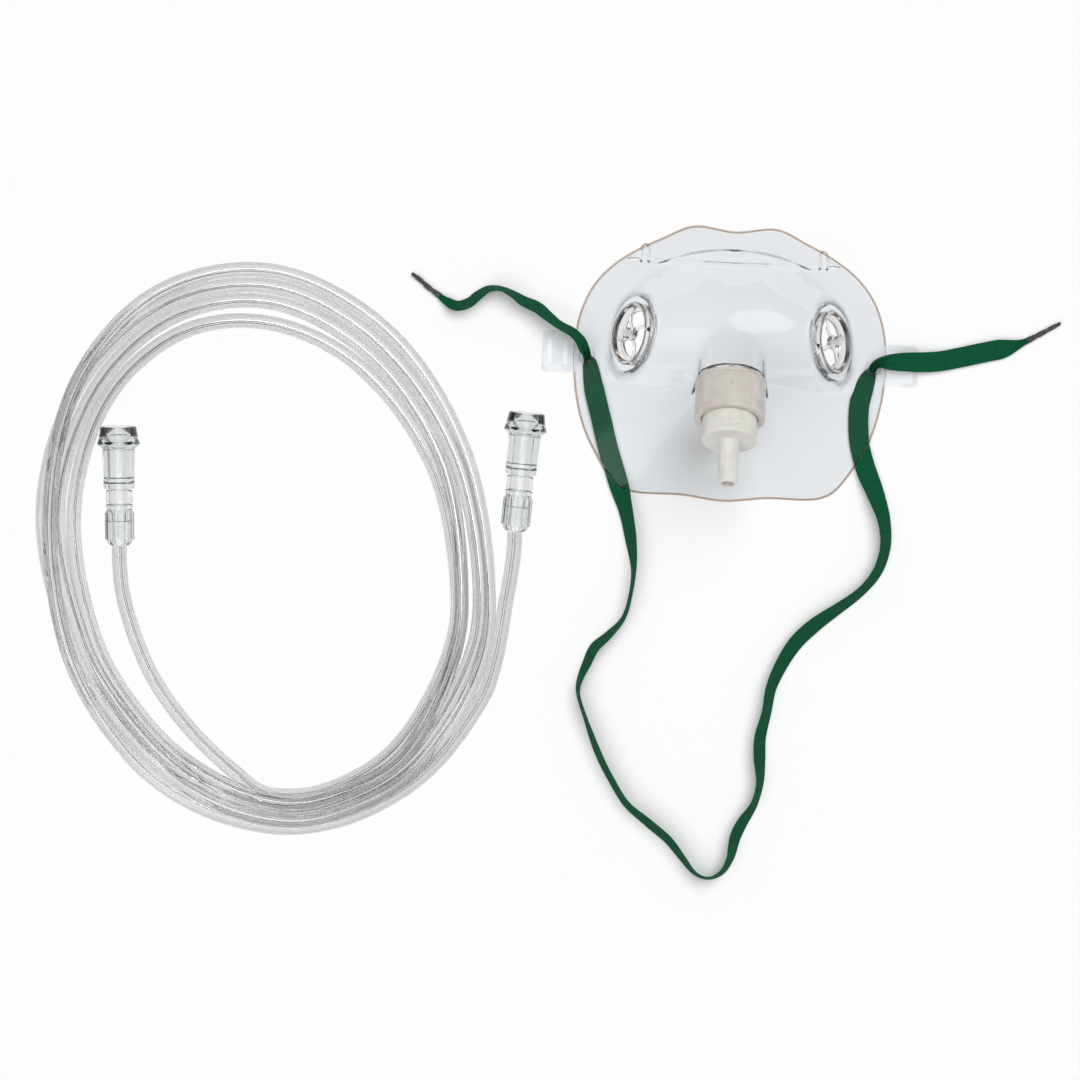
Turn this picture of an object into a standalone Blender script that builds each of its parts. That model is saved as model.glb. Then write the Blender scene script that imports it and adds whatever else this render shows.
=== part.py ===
"""Simple oxygen face mask: clear shell, swivel inlet, head strap and a coil of supply tubing.

The mask lies on its rim on the XY plane. +Y points to the nose, +X to the mask's right in plan,
+Z up from the table. The origin is the middle of the rim, on the table.
Lengths are in metres; MM turns the millimetre figures below into them.
"""
import math

import bmesh
import bpy
import numpy as np
from mathutils import Matrix, Vector

MM = 0.001

# --- Driving dimensions ------------------------------------------------------------------
GAP = 0.3 * MM                # clearance between touching pieces

# Mask shell
HALF_WIDTH = 61.8 * MM        # rim, centre line to cheek
HALF_HEIGHT = 54.2 * MM       # rim, middle to nose or chin
SHELL_WALL = 1.2 * MM
BEAD_RADIUS = 0.9 * MM        # rolled rim
CROWN_HEIGHT = 38.5 * MM      # deepest point of the shell
WALL_SLOPE = 1.9              # rise over run of the cheek wall
CHIN_SLOPE = 1.0              # rise over run of the chin wall
FLANGE_SLOPE = 0.42
FLANGE_SIDE = 11.5 * MM       # width of the sealing flange at the cheeks
FLANGE_NOSE = 8.0 * MM
FLANGE_CHIN = 4.0 * MM
NOSE_LIFT = 2.6 * MM          # the rim rises off the table at the nose
CORNER_LIFT = 2.6 * MM        # and at the jaw corners, where the strap passes under it
LOFT_STEPS = 56

# Inlet: spout, swivel collar and stepped adapter, all on one axis
PORT_START = Vector((0.0, -0.136531 * HALF_HEIGHT, 0.898701 * CROWN_HEIGHT))   # collar's back
COLLAR_CLEARANCE = 0.14 * MM                       # least height of the collar over the shell
PORT_TILT = math.radians(65)                       # from the vertical towards the chin
NECK_RADIUS = 12.2 * MM
NECK_LENGTH = 9.0 * MM
SPOUT_WALL = 1.4 * MM
SPOUT_BORE = NECK_RADIUS - SPOUT_WALL
SPOUT_RADIUS = NECK_RADIUS + SPOUT_WALL
SPOUT_ROOT = 24.0 * MM        # how far the spout runs back into the shell
BEAD_HEIGHT = 0.4 * MM        # snap bead that keeps the collar on the neck
ADAPTER_RADIUS = 11.0 * MM
ADAPTER_LENGTH = 17.3 * MM
ADAPTER_WALL = 1.6 * MM
COLLAR_WALL = 1.8 * MM        # outside the neck or the adapter, whichever is wider
COLLAR_RADIUS = max(NECK_RADIUS, ADAPTER_RADIUS) + COLLAR_WALL
COLLAR_LENGTH = 17.2 * MM
NIPPLE_RADIUS = 3.8 * MM
NIPPLE_WALL = 1.5 * MM
NIPPLE_BORE = NIPPLE_RADIUS - NIPPLE_WALL
NIPPLE_LENGTH = 18.6 * MM
TURN_SEGMENTS = 36

# Exhalation ports
PORT_X = 0.6472 * HALF_WIDTH
PORT_Y = 0.1845 * HALF_HEIGHT
PORT_RADIUS = 12.6 * MM
PORT_RING_WALL = 1.9 * MM
PORT_DEPTH = 4.6 * MM
PORT_SPOKE = 1.5 * MM
PORT_HUB = 2.3 * MM
PORT_SEGMENTS = 32

# Ear tabs, strap eyelets and nose-clip lugs
TAB_LENGTH = 13.5 * MM        # past the rim
TAB_WIDTH = 16.4 * MM
TAB_THICKNESS = 1.2 * MM
TAB_SLOT = (1.6 * MM, 9.8 * MM)
EYELET_X = HALF_WIDTH - 4.5 * MM
EYELET_Y = 1.2 * MM
EYELET_RADIUS = 2.1 * MM
EYELET_COLLAR = EYELET_RADIUS + 1.0 * MM
LUG_X = 0.5728 * HALF_WIDTH
LUG_Y = 0.7823 * HALF_HEIGHT

# Head strap
STRAP_WIDTH = 8.0 * MM
STRAP_THICKNESS = 0.8 * MM
STRAP_CLEARANCE = 0.3 * MM    # under the strap, above what it lies on
BUNCH_RADIUS = EYELET_RADIUS - 0.4 * MM       # the strap gathered in its eyelet
TIP_RADIUS = 0.9 * MM

# Supply tubing
TUBE_RADIUS = 3.0 * MM
TUBING_ANCHOR = (-75.0, -83.0)         # mm: a thicker tube lies in a wider loop from here
OPENING = TUBE_RADIUS / (3.0 * MM)
COIL_CENTRE = (-182.1, -83.3)          # mm
COIL_HALF = (83.6 * OPENING * MM, 102.5 * OPENING * MM)   # middle of the bundle
COIL_SKEW = math.radians(7)            # the oval leans to the left at its far end
COIL_BUNDLE = (8.8 * OPENING * MM, 13.0 * OPENING * MM)   # half its width, wider at the far end
COIL_HEIGHT = 13.0 * OPENING * MM

# Tubing connectors, measured from the tube end to the mouth
SOCKET_BORE = TUBE_RADIUS + 0.7 * MM
CUFF_RADIUS = SOCKET_BORE + 1.8 * MM
CUFF_LENGTH = 17.0 * MM
CUFF_RIBS = 12
SLEEVE_RADIUS = SOCKET_BORE + 1.7 * MM
SLEEVE_LENGTH = 5.6 * MM
BARREL_RADIUS = SOCKET_BORE + 2.7 * MM
BARREL_LENGTH = 15.8 * MM
LIP_RADIUS = SOCKET_BORE + 4.8 * MM
FUNNEL_LENGTH = 9.2 * MM
MOUTH_RADIUS = SOCKET_BORE + 3.4 * MM
CONNECTOR_LENGTH = CUFF_LENGTH + SLEEVE_LENGTH + BARREL_LENGTH + FUNNEL_LENGTH

# Routes, in millimetres: x, y, height of the support, lean (0 flat, 90 on its edge).
# The loop widens and lengthens with the mask; the loose ends start at its cheeks.
ROUTE_WIDTH = 61.8 * MM
ROUTE_HEIGHT = 54.2 * MM
STRAP_LOOP = [
    (-55.6, -2.4, 0, 0), (-53.4, -12.6, 0, 0), (-50.2, -24, 0, 0), (-46.8, -36, 0, 0),
    (-43.4, -46, 0, 2), (-39.5, -58, 0, 45), (-36.2, -72, 0, 62), (-34.7, -85, 0, 80),
    (-36, -96.3, 0, 82), (-38.5, -104, 0, 80), (-43.6, -110.2, 0, 72), (-49, -115.4, 0, 66),
    (-51.6, -121.5, 0, 68), (-54.4, -129, 0, 76), (-54.7, -134.5, 0, 82), (-51.6, -143, 0, 82),
    (-46.9, -154.8, 0, 76), (-40.3, -167.3, 0, 74), (-33.6, -177, 0, 72), (-25, -184, 0, 68),
    (-16.6, -190.4, 0, 70), (-10.5, -197.6, 0, 74), (-5, -203.6, 0, 80), (0.5, -205.4, 0, 82),
    (5.6, -202.8, 0, 76), (8.6, -197, 0, 70), (10.2, -189, 0, 60), (13, -182.3, 0, 60),
    (17.2, -175, 0, 70), (19.2, -166.6, 0, 68), (18.6, -157, 0, 56), (18.6, -148, 0, 58),
    (20.6, -138, 0, 64), (22.2, -128, 0, 58), (25.8, -118.8, 0, 50), (31.4, -109.6, 0, 46),
    (38, -102.8, 0, 48), (47, -95.8, 0, 58), (56.6, -88, 0, 64), (62.4, -80, 0, 62),
    (65.2, -70, 0, 60), (64.2, -60, 0, 52), (60.6, -49.6, 0, 30), (56, -39, 0, 5),
    (52.9, -28, 0, 0), (52.2, -16, 0, 0), (53.6, -8, 0, 0), (55.6, -2.4, 0, 0),
]
STRAP_END_LEFT = [
    (-58.6, 4.0, 5.0, 30), (-60.2, 7.0, 4.2, 46), (-63.4, 10, 3.2, 60), (-68.8, 12.6, 2.2, 66),
    (-73.6, 16, 1.4, 62), (-78, 19.4, 0.2, 58), (-83.6, 21.6, 0, 62), (-88.4, 24.4, 0, 72),
    (-93, 26.2, 0, 76), (-97.6, 25.8, 0, 70), (-101.6, 23, 0, 62), (-105, 20, 0, 60),
    (-109.8, 18.6, 0, 50), (-114.2, 20.4, 0, 20), (-117.4, 22.6, 0, 0),
]
STRAP_TIP_LEFT = [(-117.9, 22.9), (-121.4, 25.4), (-125, 28.4), (-128.7, 31.0)]
STRAP_END_RIGHT = [
    (59.9, 3.2, 5.0, 6), (64, 3.6, 4.2, 6), (70, 4, 3.2, 4), (76.6, 4.2, 1.9, 3),
    (84, 5, 0.5, 3), (91, 6.6, 0, 4), (98, 8.4, 0, 6), (104, 9.9, 0, 8), (109.4, 11.2, 0, 6),
    (114.2, 12.8, 0, 2), (119, 14.9, 0, 0),
]
STRAP_TIP_RIGHT = [(119.6, 15.2), (123.6, 17.6), (127.6, 20.0), (131.7, 22.4)]
TAPER = 0.28                   # a loose end narrows to this share of its width at its tip

# Tube tails, in millimetres: x, y, height of the tube's middle, for a 3 mm tube radius
TAIL_PATIENT = [
    (-240.4, -83.2, 5.9), (-239.9, -91, 5.5), (-238.6, -100.4, 4.4), (-236, -110, 3.5),
    (-231.9, -121, 3.2), (-226.8, -131.6, 3.1), (-220.4, -141.6, 3.1), (-213.2, -150.6, 3.1),
    (-206.6, -157.6, 3.1), (-200.4, -163.4, 3.1), (-195, -168, 3.1), (-190.6, -171.6, 3.1),
]
TAIL_SUPPLY = [
    (-82.9, -70.6, 5.9), (-82.9, -78, 5.4), (-83.8, -88, 4.2), (-85, -98, 3.4),
    (-86.2, -110, 3.1), (-88.2, -122, 3.1), (-91.4, -134, 3.1), (-94.4, -142.0, 3.1),
]
PATIENT_CONNECTOR = (-240.2, -82.9)   # where the tube enters the cuff
PATIENT_HEADING = 3.0                 # degrees from +Y towards -X
SUPPLY_CONNECTOR = (-82.9, -70.3)
SUPPLY_HEADING = -3.4
CUFF_AXIS_HEIGHT = TUBE_RADIUS + 2.9 * MM
CONNECTOR_RISE = 3.8                  # degrees: the lip holds the mouth end up

# --- Finishes: colour, roughness, alpha --------------------------------------------------
FINISHES = {
    "clear_pvc": ((0.86, 0.89, 0.91), 0.12, 0.35),
    "port_clear": ((0.78, 0.77, 0.73), 0.15, 0.5),
    "collar_plastic": ((0.62, 0.58, 0.53), 0.35, 1.0),
    "adapter_plastic": ((0.72, 0.72, 0.66), 0.35, 1.0),
    "strap_elastic": ((0.01, 0.09, 0.035), 0.8, 1.0),
    "strap_tip": ((0.05, 0.07, 0.055), 0.5, 1.0),
    "tube_clear": ((0.84, 0.84, 0.85), 0.1, 0.4),
    "connector_clear": ((0.8, 0.82, 0.83), 0.08, 0.4),
}


# --- Helpers -----------------------------------------------------------------------------
def clear_scene():
    for obj in list(bpy.data.objects):
        bpy.data.objects.remove(obj, do_unlink=True)
    for name in ("oxygen_mask", "cutters"):
        collection = bpy.data.collections.new(name)
        bpy.context.scene.collection.children.link(collection)


def finish_material(name):
    found = bpy.data.materials.get(name)
    if found:
        return found
    colour, roughness, alpha = FINISHES[name]
    material = bpy.data.materials.new(name)
    material.use_nodes = True
    shader = material.node_tree.nodes["Principled BSDF"]
    shader.inputs["Base Color"].default_value = (*colour, 1.0)
    shader.inputs["Roughness"].default_value = roughness
    shader.inputs["Metallic"].default_value = 0.0
    shader.inputs["Alpha"].default_value = alpha
    return material


def add_part(name, data, finish, matrix=None):
    obj = bpy.data.objects.new(name, data)
    bpy.data.collections["oxygen_mask"].objects.link(obj)
    data.materials.append(finish_material(finish))
    if matrix is not None:
        obj.matrix_world = matrix
    return obj


def add_cutter(name, data, matrix=None):
    obj = bpy.data.objects.new(name, data)
    bpy.data.collections["cutters"].objects.link(obj)
    obj.hide_render = True
    obj.display_type = "WIRE"
    if matrix is not None:
        obj.matrix_world = matrix
    return obj


def combine(target, other, operation):
    modifier = target.modifiers.new(f"{operation.lower()}_{other.name}", "BOOLEAN")
    modifier.operation = operation
    modifier.object = other
    modifier.solver = "EXACT"


def profile_mesh(name, points, closed):
    """Edges of a turned profile: (radius, height) pairs, down the outer side."""
    mesh = bpy.data.meshes.new(name)
    edges = [(i, i + 1) for i in range(len(points) - 1)]
    if closed:
        edges.append((len(points) - 1, 0))
    mesh.from_pydata([(radius, 0.0, height) for radius, height in points], edges, [])
    return mesh


def turn(obj, segments=TURN_SEGMENTS):
    screw = obj.modifiers.new("turn", "SCREW")
    screw.steps = segments
    screw.render_steps = segments
    screw.use_merge_vertices = True
    screw.merge_threshold = 0.00001
    return obj


def cylinder_mesh(name, radius, low, high, segments=TURN_SEGMENTS):
    mesh = bpy.data.meshes.new(name)
    shape = bmesh.new()
    middle = Matrix.Translation((0.0, 0.0, (low + high) / 2))
    bmesh.ops.create_cone(shape, cap_ends=True, segments=segments, radius1=radius,
                          radius2=radius, depth=high - low, matrix=middle)
    shape.to_mesh(mesh)
    shape.free()
    return mesh


def box_mesh(name, size):
    mesh = bpy.data.meshes.new(name)
    shape = bmesh.new()
    bmesh.ops.create_cube(shape, size=1.0, matrix=Matrix.Diagonal((*size, 1.0)))
    shape.to_mesh(mesh)
    shape.free()
    return mesh


def smooth_route(points, count, closed=False):
    """Points spaced evenly along a Catmull-Rom curve through the route's own points."""
    route = [Vector(p) for p in points]
    if closed:
        padded = [route[-1]] + route + route[:2]
    else:
        padded = [route[0] * 2 - route[1]] + route + [route[-1] * 2 - route[-2]]
    fine = []
    for a, b, c, d in zip(padded, padded[1:], padded[2:], padded[3:]):
        for step in range(16):
            t = step / 16
            fine.append(0.5 * (2 * b + (c - a) * t + (2 * a - 5 * b + 4 * c - d) * t ** 2
                               + (3 * b - a - 3 * c + d) * t ** 3))
    fine.append(padded[-2])
    xyz = np.array([tuple(p) for p in fine])
    run = np.concatenate([[0], np.cumsum(np.linalg.norm(np.diff(xyz[:, :3], axis=0), axis=1))])
    wanted = np.linspace(0, run[-1], count)
    columns = [np.interp(wanted, run, xyz[:, i]) for i in range(xyz.shape[1])]
    return np.stack(columns, axis=1)


def curve_data(name, points, depth, closed=False):
    curve = bpy.data.curves.new(name, "CURVE")
    curve.dimensions = "3D"
    curve.bevel_depth = depth
    curve.bevel_resolution = 2
    curve.use_fill_caps = True
    spline = curve.splines.new("POLY")
    spline.points.add(len(points) - 1)
    for knot, place in zip(spline.points, points):
        knot.co = (*place, 1.0)
    spline.use_cyclic_u = closed
    return curve


def solid_from_curve(name, curve, matrix=None):
    """A closed mesh made from a curve, for use in a Boolean."""
    guide = bpy.data.objects.new(name + "_guide", curve)
    bpy.context.scene.collection.objects.link(guide)
    view = bpy.context.evaluated_depsgraph_get()
    mesh = bpy.data.meshes.new_from_object(guide.evaluated_get(view))
    shape = bmesh.new()
    shape.from_mesh(mesh)
    bmesh.ops.remove_doubles(shape, verts=shape.verts, dist=0.000005)
    shape.to_mesh(mesh)
    shape.free()
    bpy.data.objects.remove(guide, do_unlink=True)
    return add_cutter(name, mesh, matrix)


def smooth_step(value, low, high):
    t = min(max((value - low) / (high - low), 0.0), 1.0)
    return t * t * (3 - 2 * t)


def soft_max(a, b, blend):
    return blend * math.log(math.exp(a / blend) + math.exp(b / blend))


def soft_min(a, b, blend):
    return -soft_max(-a, -b, blend)


# --- Mask shell --------------------------------------------------------------------------
# Half of the rim's outline, as shares of the half width and half height
RIM_SHAPE = [
    (0.0, 0.967), (0.26, 1.0), (0.46, 0.905), (0.647, 0.795), (0.793, 0.672), (0.9, 0.525),
    (0.965, 0.355), (0.997, 0.165), (1.0, -0.055), (0.98, -0.26), (0.93, -0.48),
    (0.85, -0.67), (0.745, -0.85), (0.66, -0.935), (0.534, -0.968), (0.275, -0.968),
    (0.0, -1.0),
]
# The shell's height along its middle line: y share, share of the crown height
CROWN_SHAPE = [
    (1.05, 0.4), (0.84, 0.54), (0.7, 0.7), (0.46, 0.92), (0.22, 1.0), (0.0, 0.88),
    (-0.24, 0.52), (-0.55, 0.29), (-0.88, 0.14), (-1.05, 0.1),
]
CROSS_CURVE = 160 * MM        # the crown falls away sideways by x squared over this


def rim_outline():
    """Closed outline of the rim, anticlockwise from the nose."""
    right = [(x * HALF_WIDTH, y * HALF_HEIGHT, 0.0) for x, y in RIM_SHAPE]
    left = [(-x, y, 0.0) for x, y, _ in right[1:-1]]
    outline = left + [right[-1]] + right[-2::-1]
    return smooth_route(outline, 721, closed=True)


RIM = rim_outline()
RIM_ANGLE = np.unwrap(np.arctan2(RIM[:, 1], RIM[:, 0]))
RIM_REACH = np.hypot(RIM[:, 0], RIM[:, 1])
CROWN = smooth_route([(y * HALF_HEIGHT, h * CROWN_HEIGHT, 0.0) for y, h in CROWN_SHAPE], 121)


def rim_reach(angle):
    wrapped = (angle - RIM_ANGLE[0]) % (2 * math.pi) + RIM_ANGLE[0]
    return float(np.interp(wrapped, RIM_ANGLE, RIM_REACH))


def rim_lift(angle):
    """How far the rim stands off the table: none at the cheeks and chin."""
    across, along = math.cos(angle) / HALF_WIDTH, math.sin(angle) / HALF_HEIGHT
    lean = math.degrees(math.atan2(along * ROUTE_HEIGHT, abs(across) * ROUTE_WIDTH))
    nose = NOSE_LIFT * smooth_step(lean, 50, 88)
    corner = max(0.0, 1 - abs(lean + 47) / 42)
    return nose + CORNER_LIFT * smooth_step(corner, 0, 1)


def flange_width(angle):
    share = math.sin(angle) ** 2
    end = FLANGE_NOSE if math.sin(angle) > 0 else FLANGE_CHIN
    return FLANGE_SIDE + (end - FLANGE_SIDE) * share


def wall_slope(angle):
    return WALL_SLOPE + (CHIN_SLOPE - WALL_SLOPE) * smooth_step(-math.sin(angle), 0.3, 0.9)


def shell_height(x, y):
    """Height of the shell's outer surface over a point in plan."""
    angle = math.atan2(y, x)
    inset = rim_reach(angle) - math.hypot(x, y)
    foot = rim_lift(angle) + BEAD_RADIUS + SHELL_WALL / 2
    width = flange_width(angle)
    flange = foot + FLANGE_SLOPE * inset
    wall = foot + FLANGE_SLOPE * width + wall_slope(angle) * (inset - width)
    crown = float(np.interp(-y, -CROWN[:, 0], CROWN[:, 1])) - x * x / CROSS_CURVE
    return soft_max(flange, soft_min(wall, crown, 2.0 * MM), 0.5 * MM)


def shell_frame(x, y):
    """A point on the shell and a matrix whose Z axis is the shell's normal there."""
    step = 2.0 * MM
    slope_x = (shell_height(x + step, y) - shell_height(x - step, y)) / (2 * step)
    slope_y = (shell_height(x, y + step) - shell_height(x, y - step)) / (2 * step)
    normal = Vector((-slope_x, -slope_y, 1.0)).normalized()
    across = Vector((0.0, 1.0, 0.0)).cross(normal).normalized()
    along = normal.cross(across)
    turned = Matrix((across, along, normal)).transposed().to_4x4()
    return Matrix.Translation((x, y, shell_height(x, y))) @ turned


def shell_loft(name, drop, closed):
    """Rings from the rim to the crown; closed adds a skirt and a floor below the rim."""
    shares = [1.0, 0.94, 0.885, 0.845, 0.8, 0.74, 0.67, 0.58, 0.46, 0.32, 0.16]
    shape = bmesh.new()
    rings = []
    for share in shares:
        ring = []
        for step in range(LOFT_STEPS):
            angle = 2 * math.pi * step / LOFT_STEPS
            reach = rim_reach(angle) * share
            x, y = reach * math.cos(angle), reach * math.sin(angle)
            ring.append(shape.verts.new((x, y, shell_height(x, y) - drop)))
        rings.append(ring)
    for outer, inner in zip(rings, rings[1:]):
        for i in range(LOFT_STEPS):
            j = (i + 1) % LOFT_STEPS
            shape.faces.new((outer[i], outer[j], inner[j], inner[i]))
    middle = shape.verts.new((0.0, 0.0, shell_height(0.0, 1e-6) - drop))
    for i in range(LOFT_STEPS):
        shape.faces.new((rings[-1][i], rings[-1][(i + 1) % LOFT_STEPS], middle))
    if closed:
        skirt = [shape.verts.new((v.co.x, v.co.y, -12.0 * MM)) for v in rings[0]]
        for i in range(LOFT_STEPS):
            j = (i + 1) % LOFT_STEPS
            shape.faces.new((skirt[i], skirt[j], rings[0][j], rings[0][i]))
        shape.faces.new(skirt[::-1])
    mesh = bpy.data.meshes.new(name)
    shape.to_mesh(mesh)
    shape.free()
    return mesh


def port_place():
    """Frame of the inlet, Z along its axis, raised where the collar would meet the shell."""
    turned = Matrix.Rotation(PORT_TILT, 4, "X")
    rise = 0.0
    for turn_angle in np.linspace(0, 2 * math.pi, 49):
        for along in np.linspace(0, COLLAR_LENGTH, 9):
            edge = Vector((COLLAR_RADIUS * math.cos(turn_angle),
                           COLLAR_RADIUS * math.sin(turn_angle), along))
            edge = PORT_START + turned @ edge
            rise = max(rise, shell_height(edge.x, edge.y) + COLLAR_CLEARANCE - edge.z)
    return Matrix.Translation(PORT_START + Vector((0, 0, rise))) @ turned


PORT_MATRIX = port_place()


def spout():
    """Solid spout with the collar's neck and snap bead, trimmed where it enters the shell."""
    bead_low, bead_high = NECK_LENGTH - 3.0 * MM, NECK_LENGTH - 1.4 * MM
    bead = NECK_RADIUS + BEAD_HEIGHT
    profile = [
        (0.0, NECK_LENGTH), (NECK_RADIUS - 0.4 * MM, NECK_LENGTH),
        (NECK_RADIUS, NECK_LENGTH - 0.4 * MM), (NECK_RADIUS, bead_high), (bead, bead_high),
        (bead, bead_low), (NECK_RADIUS, bead_low - BEAD_HEIGHT), (NECK_RADIUS, -GAP),
        (SPOUT_RADIUS, -GAP), (SPOUT_RADIUS, -SPOUT_ROOT), (0.0, -SPOUT_ROOT),
    ]
    body = turn(add_cutter("spout", profile_mesh("spout", profile, False), PORT_MATRIX))
    cavity = add_cutter("cavity", shell_loft("cavity", SHELL_WALL * 0.6, True))
    combine(body, cavity, "DIFFERENCE")
    return body


def spout_bore():
    """Cutter for the stepped bore, from the cavity to past the neck."""
    wide = SPOUT_RADIUS - SPOUT_WALL
    step = -GAP - SPOUT_WALL
    out = NECK_LENGTH + 3.0 * MM
    profile = [(0.0, out), (SPOUT_BORE, out), (SPOUT_BORE, step), (wide, step),
               (wide, 1.0 * MM - SPOUT_ROOT), (0.0, 1.0 * MM - SPOUT_ROOT)]
    return turn(add_cutter("spout_bore", profile_mesh("spout_bore", profile, False), PORT_MATRIX))


def rim_bead():
    angles = [2 * math.pi * i / LOFT_STEPS for i in range(LOFT_STEPS)]
    points = []
    for angle in angles:
        reach = rim_reach(angle)
        points.append((reach * math.cos(angle), reach * math.sin(angle),
                       rim_lift(angle) + BEAD_RADIUS))
    return solid_from_curve("rim_bead", curve_data("rim_bead", points, BEAD_RADIUS, True))


def ear_tab(side):
    """Rounded tab with two strap slots, joined to the rim at the cheek."""
    root = HALF_WIDTH - 1.0 * MM
    length = TAB_LENGTH + 1.0 * MM
    corner = 2.0 * MM
    plate = add_cutter(f"ear_tab_{side}", box_mesh("ear_tab", (length, TAB_WIDTH, TAB_THICKNESS)))
    sign = -1 if side == "left" else 1
    plate.location = (sign * (root + length / 2), EYELET_Y + 1.0 * MM,
                      BEAD_RADIUS + TAB_THICKNESS / 2 - 0.2 * MM)
    rounding = plate.modifiers.new("corners", "BEVEL")
    rounding.width = corner
    rounding.segments = 3
    rounding.limit_method = "WEIGHT"
    weights = plate.data.attributes.new("bevel_weight_edge", "FLOAT", "EDGE")
    for edge in plate.data.edges:
        a, b = (plate.data.vertices[v].co for v in edge.vertices)
        upright = abs(a.z - b.z) > TAB_THICKNESS / 2
        outer = a.x * sign > 0
        weights.data[edge.index].value = 1.0 if upright and outer else 0.0
    for number, place in enumerate((0.3, 0.76)):
        slot = add_cutter(f"ear_slot_{side}_{number}", box_mesh("ear_slot", (*TAB_SLOT, 6 * MM)))
        slot.location = (sign * (HALF_WIDTH + TAB_LENGTH * place), plate.location.y,
                         plate.location.z)
        combine(plate, slot, "DIFFERENCE")
    return plate


def eyelet(side):
    """Raised collar round the strap hole, and the hole's cutter."""
    sign = -1 if side == "left" else 1
    x = sign * EYELET_X
    top = shell_height(x, EYELET_Y)
    place = Matrix.Translation((x, EYELET_Y, 0.0))
    collar = cylinder_mesh("eyelet", EYELET_COLLAR, top - 1.2 * MM, top + 1.0 * MM, 20)
    hole = cylinder_mesh("eyelet_hole", EYELET_RADIUS, -5 * MM, 20 * MM, 20)
    return (add_cutter(f"eyelet_{side}", collar, place),
            add_cutter(f"eyelet_hole_{side}", hole, place))


def nose_lug(side):
    """Small arch that would hold the end of a nose clip, and its slit in the flange."""
    sign = -1 if side == "left" else 1
    place = shell_frame(sign * LUG_X, LUG_Y)
    arch = [(-1.4, -2.7, -0.6), (-1.4, -2.6, 0.6), (-1.4, -1.8, 1.5), (-1.4, 0.8, 1.7),
            (-1.1, 2.1, 1.7), (0, 2.8, 1.7), (1.1, 2.1, 1.7), (1.4, 0.8, 1.7),
            (1.4, -1.8, 1.5), (1.4, -2.6, 0.6), (1.4, -2.7, -0.6)]
    points = smooth_route([tuple(c * MM for c in p) for p in arch], 21)
    lug = solid_from_curve(f"nose_lug_{side}", curve_data("nose_lug", points, 0.6 * MM), place)
    slit = add_cutter(f"nose_slit_{side}", box_mesh("nose_slit", (4.6 * MM, 0.9 * MM, 8 * MM)))
    slit.matrix_world = place @ Matrix.Translation((sign * 4.6 * MM, -1.6 * MM, 0.0))
    return lug, slit


def mask_shell():
    shell = add_part("mask_shell", shell_loft("mask_shell", 0.0, False), "clear_pvc")
    wall = shell.modifiers.new("wall", "SOLIDIFY")
    wall.thickness = SHELL_WALL
    wall.offset = -1.0
    wall.use_even_offset = True
    combine(shell, spout(), "UNION")
    combine(shell, spout_bore(), "DIFFERENCE")
    combine(shell, rim_bead(), "UNION")
    for side in ("left", "right"):
        combine(shell, ear_tab(side), "UNION")
        collar, hole = eyelet(side)
        combine(shell, collar, "UNION")
        combine(shell, hole, "DIFFERENCE")
        lug, slit = nose_lug(side)
        combine(shell, lug, "UNION")
        combine(shell, slit, "DIFFERENCE")
        sign = -1 if side == "left" else 1
        seat = cylinder_mesh("port_hole", PORT_RADIUS + GAP, -12 * MM, 12 * MM, PORT_SEGMENTS)
        combine(shell, add_cutter(f"port_hole_{side}", seat, shell_frame(sign * PORT_X, PORT_Y)),
                "DIFFERENCE")
    return shell


def exhalation_port(side):
    """Seat ring pressed into the cheek: a ring, four spokes and a hub with a round knob."""
    sign = -1 if side == "left" else 1
    place = shell_frame(sign * PORT_X, PORT_Y)
    top, low = 1.4 * MM, 1.4 * MM - PORT_DEPTH
    inner = PORT_RADIUS - PORT_RING_WALL
    profile = [(inner, top - 0.5 * MM), (inner + 0.7 * MM, top), (PORT_RADIUS - 0.5 * MM, top),
               (PORT_RADIUS, top - 0.5 * MM), (PORT_RADIUS, low), (inner, low)]
    ring = add_part(f"exhalation_port_{side}", profile_mesh("port_ring", profile, True),
                    "port_clear", place)
    turn(ring, PORT_SEGMENTS)
    for number in range(2):
        spoke = add_cutter(f"port_spoke_{side}_{number}",
                           box_mesh("port_spoke", (2 * inner + 1.0 * MM, PORT_SPOKE, 1.4 * MM)))
        turned = Matrix.Rotation(math.radians(12 + 90 * number), 4, "Z")
        drop = -0.4 * MM - 0.05 * MM * number
        spoke.matrix_world = place @ turned @ Matrix.Translation((0, 0, drop))
        combine(ring, spoke, "UNION")
    knob = [(0.0, 3.4 * MM), (1.5 * MM, 3.1 * MM), (PORT_HUB, 2.0 * MM), (1.5 * MM, 0.9 * MM),
            (1.2 * MM, 0.5 * MM), (PORT_HUB + 0.5 * MM, 0.4 * MM),
            (PORT_HUB + 0.5 * MM, -1.3 * MM), (0.0, -1.3 * MM)]
    hub = add_cutter(f"port_hub_{side}", profile_mesh("port_hub", knob, False), place)
    turn(hub, 12)
    combine(ring, hub, "UNION")
    return ring


# --- Swivel inlet ------------------------------------------------------------------------
ADAPTER_START = NECK_LENGTH + GAP
ADAPTER_END = ADAPTER_START + ADAPTER_LENGTH
TIP_END = ADAPTER_END + NIPPLE_LENGTH


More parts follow.
